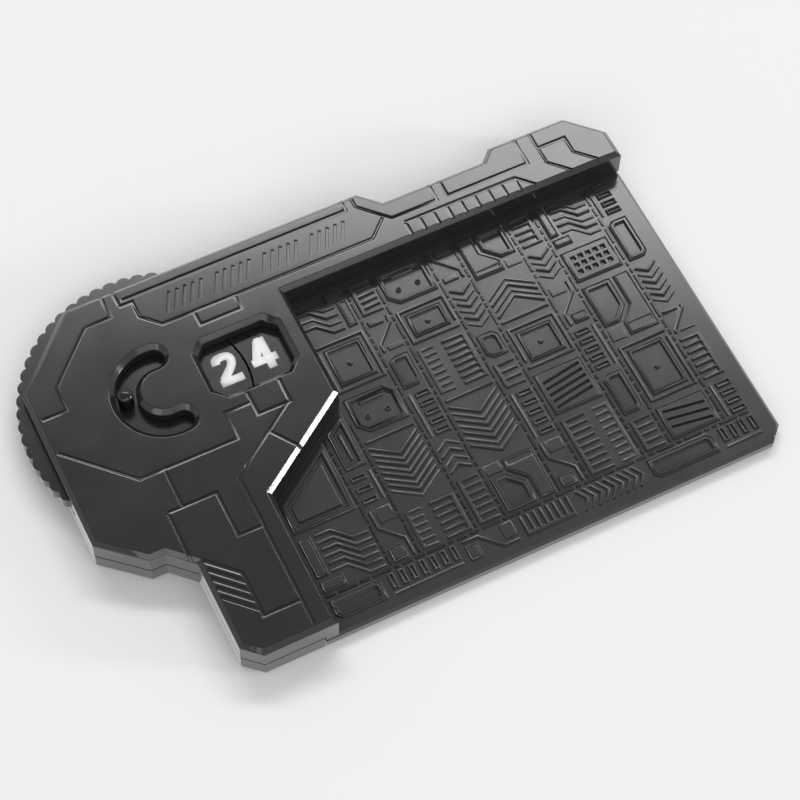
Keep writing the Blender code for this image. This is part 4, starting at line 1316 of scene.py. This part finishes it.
@dataclass
class CardPlate:
    """The plate that carries the card, with relief laid out as the frame's."""

    edge_height: float = 2.05 * MM
    bevel: float = 0.55 * MM
    edge_foot: tuple[tuple[float, float], ...] = ((0.0, 0.0), (0.02, 0.07), (0.07, 0.13))
    edge_head: tuple[tuple[float, float], ...] = ((-0.09, -0.04), (-0.03, -0.01), (0.04, 0.0))
    leg_right: float = 8.85 * MM
    knee_front: float = 27.1 * MM
    knee_rise: float = 13.2 * MM
    margin_front: float = 2.4 * MM
    margin_side: float = 3.6 * MM
    margin_wall: float = 1.0 * MM
    lane: float = 1.34 * MM
    pair_pitch: float = 17.2 * MM
    narrow: float = 4.3 * MM
    wide_cell: float = 10.4 * MM
    narrow_cell: float = 8.2 * MM
    cell_shares: tuple[float, ...] = (0.75, 1.0, 1.35)
    seed: int = 11
    line_inset: float = 0.28 * MM
    line_width: float = 0.17 * MM
    line_room: float = 0.8 * MM
    fine_draft: float = 0.08 * MM
    fine_soft: float = 0.03 * MM
    dash_width: float = 0.44 * MM
    dash_gap: float = 0.7 * MM
    dash_sizes: tuple[float, ...] = (0.9 * MM, 1.8 * MM, 3.4 * MM)

    def __post_init__(self) -> None:
        """Read the plate's edges from the frame."""
        low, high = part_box("card_plate")
        self.front = low[1] - AXIS[1]
        self.right = high[0] - AXIS[0]
        self.top = self.edge_height + self.bevel
        motifs = Motifs()
        self.wide_motifs = (motifs.hatch, motifs.louvre, motifs.stairs, motifs.chevrons,
                            motifs.combs, motifs.hook, motifs.lattice, motifs.traces)
        self.narrow_motifs = (motifs.ladder, motifs.hatch, motifs.crank, motifs.pips,
                              motifs.arrows)
        self.knee_motif = motifs.knee

    def split(
        self, draw: random.Random, start: float, end: float, nominal: float
    ) -> list[tuple[float, float]]:
        """Divide a stretch into cells of unlike sizes with lanes between them.

        Args:
            draw: The source of the random draws.
            start: Where the stretch starts.
            end: Where it ends.
            nominal: The usual size of a cell.

        Returns:
            Each cell's start and size.
        """
        count = max(1, round((end - start + self.lane) / (nominal + self.lane)))
        weights = [draw.choice(self.cell_shares) for _ in range(count)]
        room = end - start - self.lane * (count - 1)
        cells = []
        for weight in weights:
            size = room * weight / sum(weights)
            cells.append((start, size))
            start += size + self.lane
        return cells

    def field_back(self, x: float) -> float:
        """Return how far back the relief reaches: to the strip, or to the slanting wall.

        The slanting wall's line is moved off it by the margin * sqrt(1 + slope^2).

        Args:
            x: A place along X, from the dials' axis.

        Returns:
            How far back, from the dials' axis.
        """
        if x >= FIELD_LEFT + self.margin_wall:
            return STRIP_FRONT - self.margin_wall
        slope = self.knee_rise / (FIELD_LEFT - self.leg_right)
        wall = (x - self.leg_right) * slope - self.knee_front
        return wall - self.margin_wall * math.hypot(1, slope)

    def columns(self) -> list[tuple[float, float, tuple[Motif, ...], float]]:
        """Return wide and narrow columns in turn, on either side of the housing's corner.

        Returns:
            Each column's left side, width, motifs and usual cell length.
        """
        corner = FIELD_LEFT + self.margin_wall
        found = []
        for left, right in ((self.leg_right + self.margin_wall, corner - self.lane),
                            (corner, self.right - self.margin_side)):
            pairs = max(1, round((right - left) / self.pair_pitch))
            pitch = (right - left + self.lane) / pairs
            wide = pitch - self.narrow - 2 * self.lane
            for k in range(pairs):
                start = left + pitch * k
                found.append((start, wide, self.wide_motifs, self.wide_cell))
                found.append((start + wide + self.lane, self.narrow, self.narrow_motifs,
                              self.narrow_cell))
        return found

    def place(
        self, draw: random.Random, motif: Motif, left: float, front: float, length: float,
        width: float, turned: bool
    ) -> list[Step]:
        """Return a motif's steps on the card field, flipped as the draw says.

        Args:
            draw: The source of the random draws.
            motif: The method that draws the motif.
            left: The cell's left side.
            front: The cell's front.
            length: The cell's size along X.
            width: The cell's size along Y.
            turned: Whether the motif runs along X, and not Y.

        Returns:
            The steps in the frame's axes.
        """
        flips = (draw.choice((False, True)), draw.choice((False, True)))
        steps = motif(width, length) if turned else motif(length, width)
        for step in steps:
            points = step.outline
            if turned:
                points = points[::-1, ::-1]
            if flips[0]:
                points = points[::-1] * (-1, 1) + (length, 0)
            if flips[1]:
                points = points[::-1] * (1, -1) + (0, width)
            step.outline = points + (left, front) + AXIS
        return steps

    def fill(
        self, draw: random.Random, motifs: tuple[Motif, ...], cells: list[Cell]
    ) -> list[Step]:
        """Give cells the motifs in a shuffled order, so that neighbours differ.

        Args:
            draw: The source of the random draws.
            motifs: The motifs to choose from.
            cells: Each cell's left side, front, length and width, and whether its motif is turned.

        Returns:
            The steps of all cells.
        """
        order = draw.sample(motifs, len(motifs))
        steps = []
        for k, cell in enumerate(cells):
            steps += self.place(draw, order[k % len(order)], *cell)
        return steps

    def steps(self) -> list[Step]:
        """Return every step of the relief.

        Returns:
            The steps.
        """
        draw = random.Random(self.seed)
        front = self.front + self.margin_front
        row = self.split(draw, self.leg_right + self.margin_wall, self.right - self.margin_side,
                         self.wide_cell)
        cells = [(start, front, size, self.narrow, True) for start, size in row]
        found = self.fill(draw, self.narrow_motifs, cells)
        front += self.narrow + self.lane
        for left, length, motifs, nominal in self.columns():
            back = self.field_back(left)
            column = self.split(draw, front, back, nominal)
            if self.field_back(left + length) > back:
                start = column.pop()[0]
                right = left + length
                found += self.knee_motif(AXIS + np.array([
                    (left, start), (right, start), (right, self.field_back(right)), (left, back)
                ]))
            cells = [(left, start, length, size, False) for start, size in column]
            found += self.fill(draw, motifs, cells)
        return found

    def lines(self, steps: list[Step]) -> list[Step]:
        """Return a thin engraved line inside the edge of every raised plate that has room.

        Args:
            steps: The steps of the relief.

        Returns:
            The steps of the lines.
        """
        found = []
        for step in steps:
            raised = step.outside is Level.LANE and step.within is Level.HIGH
            if raised and step.has_room(self.line_room):
                near = outline_offset(step.outline, self.line_inset)
                far = outline_offset(near, self.line_width)
                found.append(Step(near, Level.HIGH, Level.MID, self.fine_draft, self.fine_soft))
                found.append(Step(far, Level.MID, Level.HIGH, self.fine_draft, self.fine_soft))
        return found

    def dashes(self) -> list[Step]:
        """Return rows of low dashes along the lanes beside the columns and behind the front row.

        Returns:
            The steps of the dashes.
        """
        draw = random.Random(self.seed + 1)
        front = self.front + self.margin_front + self.narrow + self.lane
        end = self.right - self.margin_side
        lanes = [left + length + self.lane / 2 for left, length, _, _ in self.columns()]
        rows = [(middle, front, self.field_back(middle), False) for middle in lanes if middle < end]
        rows.append((front - self.lane / 2, self.leg_right + self.margin_wall, end, True))
        found = []
        for middle, start, stop, across in rows:
            low = middle - self.dash_width / 2
            size = draw.choice(self.dash_sizes)
            while start + size <= stop:
                if across:
                    dash = rectangle(start, low, size, self.dash_width)
                else:
                    dash = rectangle(low, start, self.dash_width, size)
                found.append(Step(dash + AXIS, Level.LANE, Level.MID, self.fine_draft))
                start += size + self.dash_gap
                size = draw.choice(self.dash_sizes)
        return found

    def build(self) -> list[bpy.types.Object]:
        """Build the plate.

        Returns:
            The piece that stands for the frame's plate.
        """
        skin = Skin("card_plate", self.edge_height)
        edge = EdgeProfile(self.bevel, self.edge_foot, self.edge_head)
        contours = []
        # The outer rim lies below the field and gets the bevel. The screw holes' are level.
        for rim in skin.rims:
            if rim[0, 2] < self.top - self.bevel / 2:
                contours += edge.contours(rim)
            else:
                contours.append(Contour(rim[:, :2], rim[0, 2]))
        steps = self.steps()
        for step in steps + self.lines(steps) + self.dashes():
            contours += step.contours(self.top)
        data = skin.finish("card_plate_relief", contours, self.top)
        plate = new_piece("card_plate_relief", data, Material.PLATE.surface, "housing")
        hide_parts("card_plate")
        return [plate]


@dataclass(frozen=True)
class Digits:
    """Bold plain digits printed on a dial, drawn as bands along rounded strokes.

    The strokes are in millimetres, in a box of the digit's own whose left and front are zero.
    """

    name: str
    body: str
    node: str
    count: int
    shown: int
    left: float
    pitch_deg: float
    front: float = -2.85 * MM
    half: float = 0.80 * MM
    ink: float = 0.03 * MM
    round_steps: int = 7

    # The box of the strokes' middle lines and the size of their corners, in millimetres.
    near: float = 0.80
    far: float = 3.66
    low: float = 0.80
    high: float = 6.02
    turn: float = 1.45

    def strokes(self, digit: int) -> list[tuple[list[tuple[float, float]], float]]:
        """Return a digit's strokes, each as its points and the size of its rounded corners.

        Args:
            digit: The digit, 0 to 9.

        Returns:
            Pairs of points and corner size.
        """
        a, b, c, d, r = self.near, self.far, self.low, self.high, self.turn
        mid_x, mid_y = (a + b) / 2, (c + d) / 2
        half = self.half / MM
        bowl = [(mid_x - 0.4, mid_y + 0.15), (b, mid_y + 0.15), (b, c), (a, c), (a, c + 1.1)]
        loop = [(mid_x, c), (a, c), (a, mid_y + 0.3), (b, mid_y + 0.3), (b, c), (mid_x, c)]
        top = [(mid_x, mid_y), (a + 0.1, mid_y), (a + 0.1, d), (b - 0.1, d), (b - 0.1, mid_y),
               (mid_x, mid_y)]
        six = [(loop, r), ([(b, d - 1.0), (b, d), (a, d), (a, mid_y - 0.6)], r)]
        return {
            0: [([(mid_x, c), (a, c), (a, d), (b, d), (b, c), (mid_x, c)], r)],
            1: [([(mid_x + 0.4, c - half), (mid_x + 0.4, d + half)], r),
                ([(a, d - 1.2), (mid_x + 0.4, d - 0.25)], r)],
            2: [([(a, d - 1.25), (a, d), (b, d), (b, mid_y + 0.55), (a, c + 0.55)], r),
                ([(a - half, c), (b + half, c)], r), ([(a, c), (a, c + 0.75)], r)],
            3: [([(a, d - 1.1), (a, d), (b, d), (b, mid_y - 0.15), (mid_x - 0.4, mid_y - 0.15)],
                 r), (bowl, r)],
            4: [([(b - 0.4, c - half), (b - 0.4, d + half)], r),
                ([(a - half, c + 1.35), (b + half + 0.45, c + 1.35)], r),
                ([(a + 0.02, c + 1.25), (b - 1.02, d + 0.3)], r),
                ([(b - 1.5, d + 0.1), (b - 0.4, d + 0.1)], r)],
            5: [([(b + half, d), (a - half, d)], r), ([(a, d), (a, mid_y + 0.15)], r),
                ([(a - half, mid_y + 0.15), (b, mid_y + 0.15), (b, c), (a, c), (a, c + 1.1)], r)],
            6: six,
            7: [([(a - half, d), (b + half, d)], r), ([(b + 0.05, d), (mid_x - 0.5, c - half)], r)],
            8: [([(mid_x, c), (a, c), (a, mid_y), (b, mid_y), (b, c), (mid_x, c)], r), (top, r)],
            9: [([(a + b - x, c + d - y) for x, y in path], size) for path, size in six],
        }[digit]

    def rounded(self, path: np.ndarray, size: float) -> np.ndarray:
        """Round a path's corners.

        At a corner p between the points s and e, which lie the size or half a stretch away from
        it, the curve is (1 - t)^2 * s + 2 * t * (1 - t) * p + t^2 * e, with t from 0 to 1.

        Args:
            path: The stroke's points, as an (n, 2) array.
            size: How far from its corners the curves start.

        Returns:
            The points of the rounded stroke.
        """
        share = np.linspace(0, 1, self.round_steps)[:, None]
        points = [path[:1]]
        for before, corner, after in zip(path[:-2], path[1:-1], path[2:]):
            ends = []
            for other in (before, after):
                reach = np.linalg.norm(other - corner)
                ends.append(corner + (other - corner) * min(size, reach / 2) / reach)
            points.append((1 - share) ** 2 * ends[0] + 2 * share * (1 - share) * corner
                          + share ** 2 * ends[1])
        points.append(path[-1:])
        path = np.vstack(points)
        return path[np.append(True, np.linalg.norm(np.diff(path, axis=0), axis=1) > POLE)]

    def within(self, points: np.ndarray, path: np.ndarray) -> np.ndarray:
        """Tell which points lie on a stroke: beside one of its stretches, or at its corners.

        Args:
            points: Places, as an (n, 2) array.
            path: The stroke's points, as an (m, 2) array.

        Returns:
            True for each place on the stroke.
        """
        run = np.diff(path, axis=0)
        size = np.linalg.norm(run, axis=1)
        run /= size[:, None]
        along, across = beside(points, path[:-1], run)
        stretch = (along >= 0) & (along <= size) & (across <= self.half)
        corner = np.linalg.norm(points[:, None] - path[1:-1], axis=2) <= self.half
        return stretch.any(axis=1) | corner.any(axis=1)

    def build(self) -> bpy.types.Object:
        """Build the digits that stand round the dial, as one piece.

        Returns:
            The piece.
        """
        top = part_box(self.node)[1][2]
        places, triangles, total = [], [], 0
        for digit in range(self.count):
            paths = [
                self.rounded(np.array(stroke) * MM, size * MM)
                for stroke, size in self.strokes(digit)
            ]
            plan, faces, _ = triangulate([ribbon(path, self.half) for path in paths])
            centre = plan[faces].mean(axis=1)
            kept = np.any([self.within(centre, path) for path in paths], axis=0)
            used, faces = np.unique(faces[kept], return_inverse=True)
            angle = math.radians((self.shown - digit) * self.pitch_deg)
            # A row of places times this matrix is turned counter-clockwise by the angle.
            turn = np.array(((math.cos(angle), math.sin(angle)),
                             (-math.sin(angle), math.cos(angle))))
            places.append((plan[used] + (self.left, self.front)) @ turn + AXIS)
            triangles.append(faces.reshape(-1, 3) + total)
            total += len(used)
        plan = np.vstack(places)
        height = np.full(len(plan), top + self.ink / 2)
        data = bpy.data.meshes.new(self.name)
        data.from_pydata(np.column_stack((plan, height)), [], np.vstack(triangles))
        piece = new_piece(self.name, data, Material.INK.surface, self.body)
        layer = piece.modifiers.new("ink_layer", "SOLIDIFY")
        layer.thickness = self.ink
        layer.offset = -1
        return piece


@dataclass
class Dials:
    """The lobed outer dial, the inner dial with its thumb peg, and their digits."""

    units: Digits = Digits("units_digits", "units_dial", "units_ring", 10, 4, 17.05 * MM, 36.0)
    tens: Digits = Digits("tens_digits", "tens_dial", "tens_disc", 4, 2, 10.25 * MM, -58.0)
    lobe_count: int = 60
    lobe_steps: int = 12
    lobe_depth: float = 0.7 * MM
    bore_radius: float = 16.2 * MM
    edge_radius: float = 0.32 * MM
    edge_steps: int = 5
    rim_flat: float = 3 * 0.32 * MM
    bore_soft: float = 0.32 * MM / 3
    track_inner: float = 16.75 * MM
    track_outer: float = 18.25 * MM
    track_depth: float = 1.1 * MM
    peg_radius: float = 1.45 * MM
    peg_shank: float = 0.9 * MM
    peg_gap: float = 0.3 * MM
    peg_soft: float = 0.1 * MM
    peg_dome: float = 0.95 * MM
    dome_steps: int = 9
    peg_steps: int = 48

    def lobe_drop(self, outer: float) -> np.ndarray:
        """Return how far the scalloped edge lies inside the outer radius, all round.

        A lobe is an arc of radius q about a point on the orbit p = outer - q. At an angle a from
        its peak the edge lies at p * cos(a) + sqrt(q^2 - (p * sin(a))^2).

        Args:
            outer: The outer radius.

        Returns:
            The drop at each step round the ring.
        """
        pitch = math.tau / self.lobe_count
        chord = (outer - self.lobe_depth) * math.sin(pitch / 2)
        lobe = (chord ** 2 + self.lobe_depth ** 2) / (2 * self.lobe_depth)
        orbit = outer - lobe
        share = np.arange(self.lobe_count * self.lobe_steps) / self.lobe_steps
        angle = (share - np.round(share)) * pitch
        reach = orbit * np.cos(angle) + np.sqrt(lobe ** 2 - (orbit * np.sin(angle)) ** 2)
        return outer - reach

    def ring(self) -> bpy.types.Object:
        """Build the outer dial: its section carried round, with the rim following the lobes.

        Returns:
            The piece that stands for the frame's ring.
        """
        low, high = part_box("units_ring")
        outer = high[0] - AXIS[0]
        bottom, top = low[2], high[2]
        turn = np.radians(np.linspace(0, 90, self.edge_steps + 1))
        curve = self.edge_radius * (1 - np.cos(turn))
        rise = self.edge_radius * (1 - np.sin(turn))
        lower = np.column_stack((outer - rise, bottom + curve))
        upper = np.column_stack((outer - curve, top - rise))
        ceiling = bottom + self.track_depth
        flat = outer - self.rim_flat
        section = np.vstack((
            [(self.bore_radius, bottom), (self.track_inner, bottom), (self.track_inner, ceiling),
             (self.track_outer, ceiling), (self.track_outer, bottom), (flat, bottom)],
            lower, upper,
            [(flat, top), (self.bore_radius + self.bore_soft, top),
             (self.bore_radius, top - self.bore_soft)],
        ))
        share = (section[:, 0] > flat).astype(float)
        drop = self.lobe_drop(outer)[:, None] * share
        points = turned(AXIS, section[:, 0] - drop, section[:, 1])
        data = grid_mesh("units_ring_lobed", points)
        ring = new_piece("units_ring_lobed", data, Material.DIAL.surface, "units_dial")
        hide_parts("units_ring")
        return ring

    def peg(self) -> bpy.types.Object:
        """Build the thumb peg: a shank, a collar and a dome that is a quarter ellipse turned.

        Returns:
            The piece that stands for the frame's peg.
        """
        low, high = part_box("tens_peg")
        turn = np.radians(np.linspace(0, 90, self.dome_steps + 1))
        dome = np.column_stack((self.peg_radius * np.cos(turn),
                                high[2] - self.peg_dome * (1 - np.sin(turn))))
        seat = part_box("tens_disc")[1][2] + self.peg_gap
        section = np.vstack((
            [(0, low[2]), (self.peg_shank, low[2]), (self.peg_shank, seat),
             (self.peg_radius - self.peg_soft, seat), (self.peg_radius, seat + self.peg_soft)],
            dome,
        ))
        centre = box_middle("tens_peg")
        data = turned_mesh("tens_peg_domed", section, self.peg_steps, centre)
        peg = new_piece("tens_peg_domed", data, Material.PEG.surface, "tens_dial")
        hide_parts("tens_peg")
        return peg

    def build(self) -> list[bpy.types.Object]:
        """Build both dials and their digits, and dress the inner dial."""
        dress(frame["nodes"]["tens_disc"], Material.DIAL.surface)
        return [self.ring(), self.peg(), self.units.build(), self.tens.build()]


@dataclass
class Hardware:
    """The screws, springs, washer and feet, most of them seen only from below."""

    sheet_parts: tuple[str, ...] = ("disc_washer", "units_click_spring", "tens_click_spring")
    screws: tuple[str, ...] = (
        "hub_screw", "housing_screw_1", "housing_screw_2", "housing_screw_3", "housing_screw_4",
        "plate_screw_1", "plate_screw_2", "plate_screw_3",
    )
    head_radius: float = 1.8 * MM
    head_height: float = 0.9 * MM
    head_soft: float = 0.2 * MM
    shank_radius: float = 0.9 * MM
    thread_depth: float = 0.16 * MM
    thread_pitch: float = 0.8 * MM
    thread_steps: int = 6
    screw_steps: int = 36
    point: float = 1.0 * MM
    point_share: float = 0.25
    weld: float = 0.001 * MM
    cross_reach: float = 0.95 * MM
    cross_half: float = 0.2 * MM
    cross_depth: float = 0.55 * MM
    cross_slope: float = 0.2 * MM / 3
    feet: tuple[str, ...] = ("foot_1", "foot_2", "foot_3", "foot_4")
    foot_soft: float = 0.25 * MM
    foot_edge_steps: int = 5
    foot_steps: int = 64

    def screw(self, node: str) -> bpy.types.Object:
        """Build a sunk pan-head screw with a cross recess and a rolled thread.

        The thread is a saw tooth: the radius falls by the depth * |2 * f - 1|, where f is the
        broken part of height / pitch - turn.

        Args:
            node: The frame's screw.

        Returns:
            The piece that stands for it.
        """
        low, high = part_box(node)
        centre = box_middle(node)
        seat = low[2] + self.head_height
        count = round((high[2] - seat) / self.thread_pitch * self.thread_steps)
        height = np.linspace(seat, high[2], count + 1)
        taper = np.clip((high[2] - height) / self.point, self.point_share, 1)
        turns = (np.arange(self.screw_steps) / self.screw_steps)[:, None]
        share = (height / self.thread_pitch - turns) % 1
        shank = (self.shank_radius - self.thread_depth * np.abs(2 * share - 1)) * taper
        head = np.array(((self.head_radius - self.head_soft, low[2]),
                         (self.head_radius, low[2] + self.head_soft), (self.head_radius, seat)))
        radius = np.hstack((np.broadcast_to(head[:, 0], (len(turns), len(head))), shank))
        level = np.concatenate((head[:, 1], height))
        # The rings go up from the rim of the head's face, and the last one closes the point.
        rings = turned(centre, radius, level).transpose(1, 0, 2)
        index = np.arange(radius.size).reshape(rings.shape[:2])
        ahead = np.roll(index, -1, axis=1)
        quads = np.stack((index[:-1], ahead[:-1], ahead[1:], index[1:]), axis=2)
        data = bpy.data.meshes.new(f"{node}_threaded")
        faces = [*quads.reshape(-1, 4).tolist(), index[-1].tolist()]
        data.from_pydata(rings.reshape(-1, 3), [], faces)
        shape = bmesh.new()
        shape.from_mesh(data)
        self.head_face(shape, rings[0, :, :2], centre, low[2])
        bmesh.ops.remove_doubles(shape, verts=shape.verts, dist=self.weld)
        shape.to_mesh(data)
        shape.free()
        screw = new_piece(f"{node}_threaded", data, Material.STEEL.surface, "housing")
        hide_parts(node)
        return screw

    def head_face(
        self, shape: bmesh.types.BMesh, rim: np.ndarray, centre: np.ndarray, low: float
    ) -> None:
        """Add a screw head's face, with its cross recess, to the screw's open mesh.

        Args:
            shape: The screw's mesh, open at the head.
            rim: The open rim in the plan, as an (n, 2) array.
            centre: The screw's axis in the plan.
            low: The height of the face.
        """
        reach, half = self.cross_reach, self.cross_half
        arm = np.array(((half, half), (half, reach), (-half, reach)))
        # A row of places times this matrix is turned by a quarter.
        quarter = np.array(((0.0, 1.0), (-1.0, 0.0)))
        cross = [arm]
        for _ in range(3):
            cross.append(cross[-1] @ quarter)
        mouth = centre + np.vstack(cross)
        floor = outline_offset(mouth, self.cross_slope)
        plan, faces, first = triangulate([rim, mouth, floor])
        deep = first >= len(rim) + len(mouth)
        height = low + self.cross_depth * deep
        data = bpy.data.meshes.new("head_face")
        data.from_pydata(np.column_stack((plan, height)), [], faces[:, ::-1])
        shape.from_mesh(data)
        bpy.data.meshes.remove(data)

    def foot(self, node: str) -> bpy.types.Object:
        """Build a rubber foot with rounded edges.

        Args:
            node: The frame's foot.

        Returns:
            The piece that stands for it.
        """
        low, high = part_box(node)
        centre = box_middle(node)
        radius = (high[0] - low[0]) / 2
        turn = np.radians(np.linspace(0, 90, self.foot_edge_steps + 1))
        edge = np.column_stack((radius - self.foot_soft * (1 - np.sin(turn)),
                                low[2] + self.foot_soft * (1 - np.cos(turn))))
        section = np.vstack(([(0, low[2])], edge, [(radius, high[2]), (0, high[2])]))
        data = turned_mesh(f"{node}_rounded", section, self.foot_steps, centre)
        foot = new_piece(f"{node}_rounded", data, Material.RUBBER.surface, "housing")
        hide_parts(node)
        return foot

    def build(self) -> list[bpy.types.Object]:
        """Build the screws and feet, and dress the springs and the washer.

        Returns:
            The new pieces.
        """
        for node in self.sheet_parts:
            dress(frame["nodes"][node], Material.STEEL.surface)
        return [self.screw(node) for node in self.screws] + [self.foot(n) for n in self.feet]


@dataclass(frozen=True)
class SoftBox:
    """A rectangular lamp: the middle of its face, its width and height, and its watts."""

    name: str
    place: tuple[float, float, float]
    size: tuple[float, float]
    power: float

    def hang(self) -> bpy.types.Object:
        """Hang the lamp so that it faces the pad.

        Returns:
            The lamp.
        """
        data = bpy.data.lights.new(self.name, "AREA")
        data.shape = "RECTANGLE"
        data.size, data.size_y = self.size
        data.energy = self.power
        lamp = bpy.data.objects.new(self.name, data)
        bpy.context.scene.collection.objects.link(lamp)
        facing = Vector(self.place).to_track_quat("Z", "Y").to_matrix().to_4x4()
        lamp.matrix_world = Matrix.Translation(self.place) @ facing
        return lamp


@dataclass
class Studio:
    """A pale floor, soft lamps and the camera of the photograph."""

    # The key makes the deck's grey ramp and the white bar, the fill lightens the front walls, and
    # the two small ones put glints on the bevels that face right and front left.
    boxes: tuple[SoftBox, ...] = (
        SoftBox("key_strip_box", (0.817, 1.615, 2.393), (2.73, 0.456), 37),
        SoftBox("fill_box", (-0.15, -2.20, 2.12), (2.4, 1.4), 17),
        SoftBox("side_soft_box", (2.50, -1.50, 0.69), (0.40, 0.30), 26),
        SoftBox("front_left_box", (-2.02, -1.72, 1.39), (1.5, 1.0), 9),
    )
    lens: float = 107.65
    azimuth_deg: float = -27.93
    elevation_deg: float = 61.32
    roll_deg: float = 1.979
    distance: float = 0.42700
    target: tuple[float, float, float] = (0.001163, -0.006586, 0.0089)
    sensor: float = 36.0
    clip_start: float = 0.01
    floor_reach: float = 3.0
    floor_colour: str = "EDECED"
    floor_roughness: float = 0.9
    floor_specular: float = 0.2
    floor_glow: float = 0.6
    sky_colour: str = "F2F2F4"
    sky_level: float = 0.60
    gloss_level: float = -0.28
    band_level: float = 0.24
    band_low: float = 0.46
    band_high: float = 0.66

    def camera(self) -> bpy.types.Object:
        """Place the camera: back = (sin a cos e, -cos a cos e, sin e) from the target.

        Returns:
            The camera.
        """
        azimuth = math.radians(self.azimuth_deg)
        elevation = math.radians(self.elevation_deg)
        roll = math.radians(self.roll_deg)
        back = Vector((
            math.sin(azimuth) * math.cos(elevation),
            -math.cos(azimuth) * math.cos(elevation),
            math.sin(elevation),
        ))
        level = Vector((math.cos(azimuth), math.sin(azimuth), 0))
        high = back.cross(level)
        right = level * math.cos(roll) + high * math.sin(roll)
        up = high * math.cos(roll) - level * math.sin(roll)
        data = bpy.data.cameras.new("photo_camera")
        data.lens = self.lens
        data.sensor_width = self.sensor
        data.clip_start = self.clip_start
        camera = bpy.data.objects.new("photo_camera", data)
        bpy.context.scene.collection.objects.link(camera)
        turn = Matrix((right, up, back)).transposed().to_4x4()
        camera.matrix_world = Matrix.Translation(Vector(self.target) + back * self.distance) @ turn
        bpy.context.scene.camera = camera
        return camera

    def floor(self) -> bpy.types.Object:
        """Lay a large sheet of pale backdrop paper under the pad.

        Returns:
            The floor.
        """
        data = bpy.data.meshes.new("paper_floor")
        reach = self.floor_reach
        corners = [(-reach, -reach, 0), (reach, -reach, 0), (reach, reach, 0), (-reach, reach, 0)]
        data.from_pydata(corners, [], [(0, 1, 2, 3)])
        floor = bpy.data.objects.new("paper_floor", data)
        bpy.context.scene.collection.objects.link(floor)
        surface = bpy.data.materials.new("matt_backdrop_paper")
        surface.use_nodes = True
        tree = surface.node_tree
        shader = tree.nodes["Principled BSDF"]
        shader.inputs["Base Color"].default_value = linear(self.floor_colour)
        shader.inputs["Roughness"].default_value = self.floor_roughness
        shader.inputs["Specular IOR Level"].default_value = self.floor_specular
        rays = add_node(tree, "ShaderNodeLightPath")
        glow = add_node(tree, "ShaderNodeMath", {"operation": "MULTIPLY", 1: self.floor_glow},
                        {0: rays.outputs["Is Glossy Ray"]})
        shader.inputs["Emission Color"].default_value = linear(self.floor_colour)
        tree.links.new(glow.outputs["Value"], shader.inputs["Emission Strength"])
        dress(floor, surface)
        return floor

    def sky(self) -> bpy.types.World:
        """Return an even pale sky, which gloss shows as a room: dim above and bright walls.

        The strength is the sky's level, and for glossy rays also the band's: from the band level
        to the gloss level while a ray's rise goes from the band's low to its high.

        Returns:
            The world.
        """
        world = bpy.data.worlds.new("soft_studio")
        world.use_nodes = True
        tree = world.node_tree
        shade = tree.nodes["Background"]
        shade.inputs["Color"].default_value = linear(self.sky_colour)
        place = add_node(tree, "ShaderNodeTexCoord")
        height = add_node(tree, "ShaderNodeSeparateXYZ", {}, {"Vector": place.outputs["Object"]})
        band = add_node(
            tree, "ShaderNodeMapRange",
            {"From Min": self.band_low, "From Max": self.band_high, "To Min": self.band_level,
             "To Max": self.gloss_level},
            {"Value": height.outputs["Z"]},
        )
        rays = add_node(tree, "ShaderNodeLightPath")
        seen = add_node(tree, "ShaderNodeMath", {"operation": "MULTIPLY"},
                        {0: band.outputs["Result"], 1: rays.outputs["Is Glossy Ray"]})
        level = add_node(tree, "ShaderNodeMath", {"operation": "ADD", 1: self.sky_level},
                         {0: seen.outputs["Value"]})
        tree.links.new(level.outputs["Value"], shade.inputs["Strength"])
        return world

    def build(self) -> None:
        """Set up the camera, the floor, the lamps, the sky and the view transform."""
        self.camera()
        self.floor()
        for box in self.boxes:
            box.hang()
        bpy.context.scene.world = self.sky()
        bpy.context.scene.view_settings.view_transform = "Standard"


def main() -> None:
    """Build the studio and every piece in order."""
    logging.basicConfig(level=logging.INFO, format="%(name)s: %(message)s")
    Studio().build()
    for assembly in (Housing(), CardPlate(), Dials(), Hardware()):
        for piece in assembly.build():
            LOG.info("%s: %d faces", piece.name, len(piece.data.polygons))


if __name__ == "__main__":
    main()
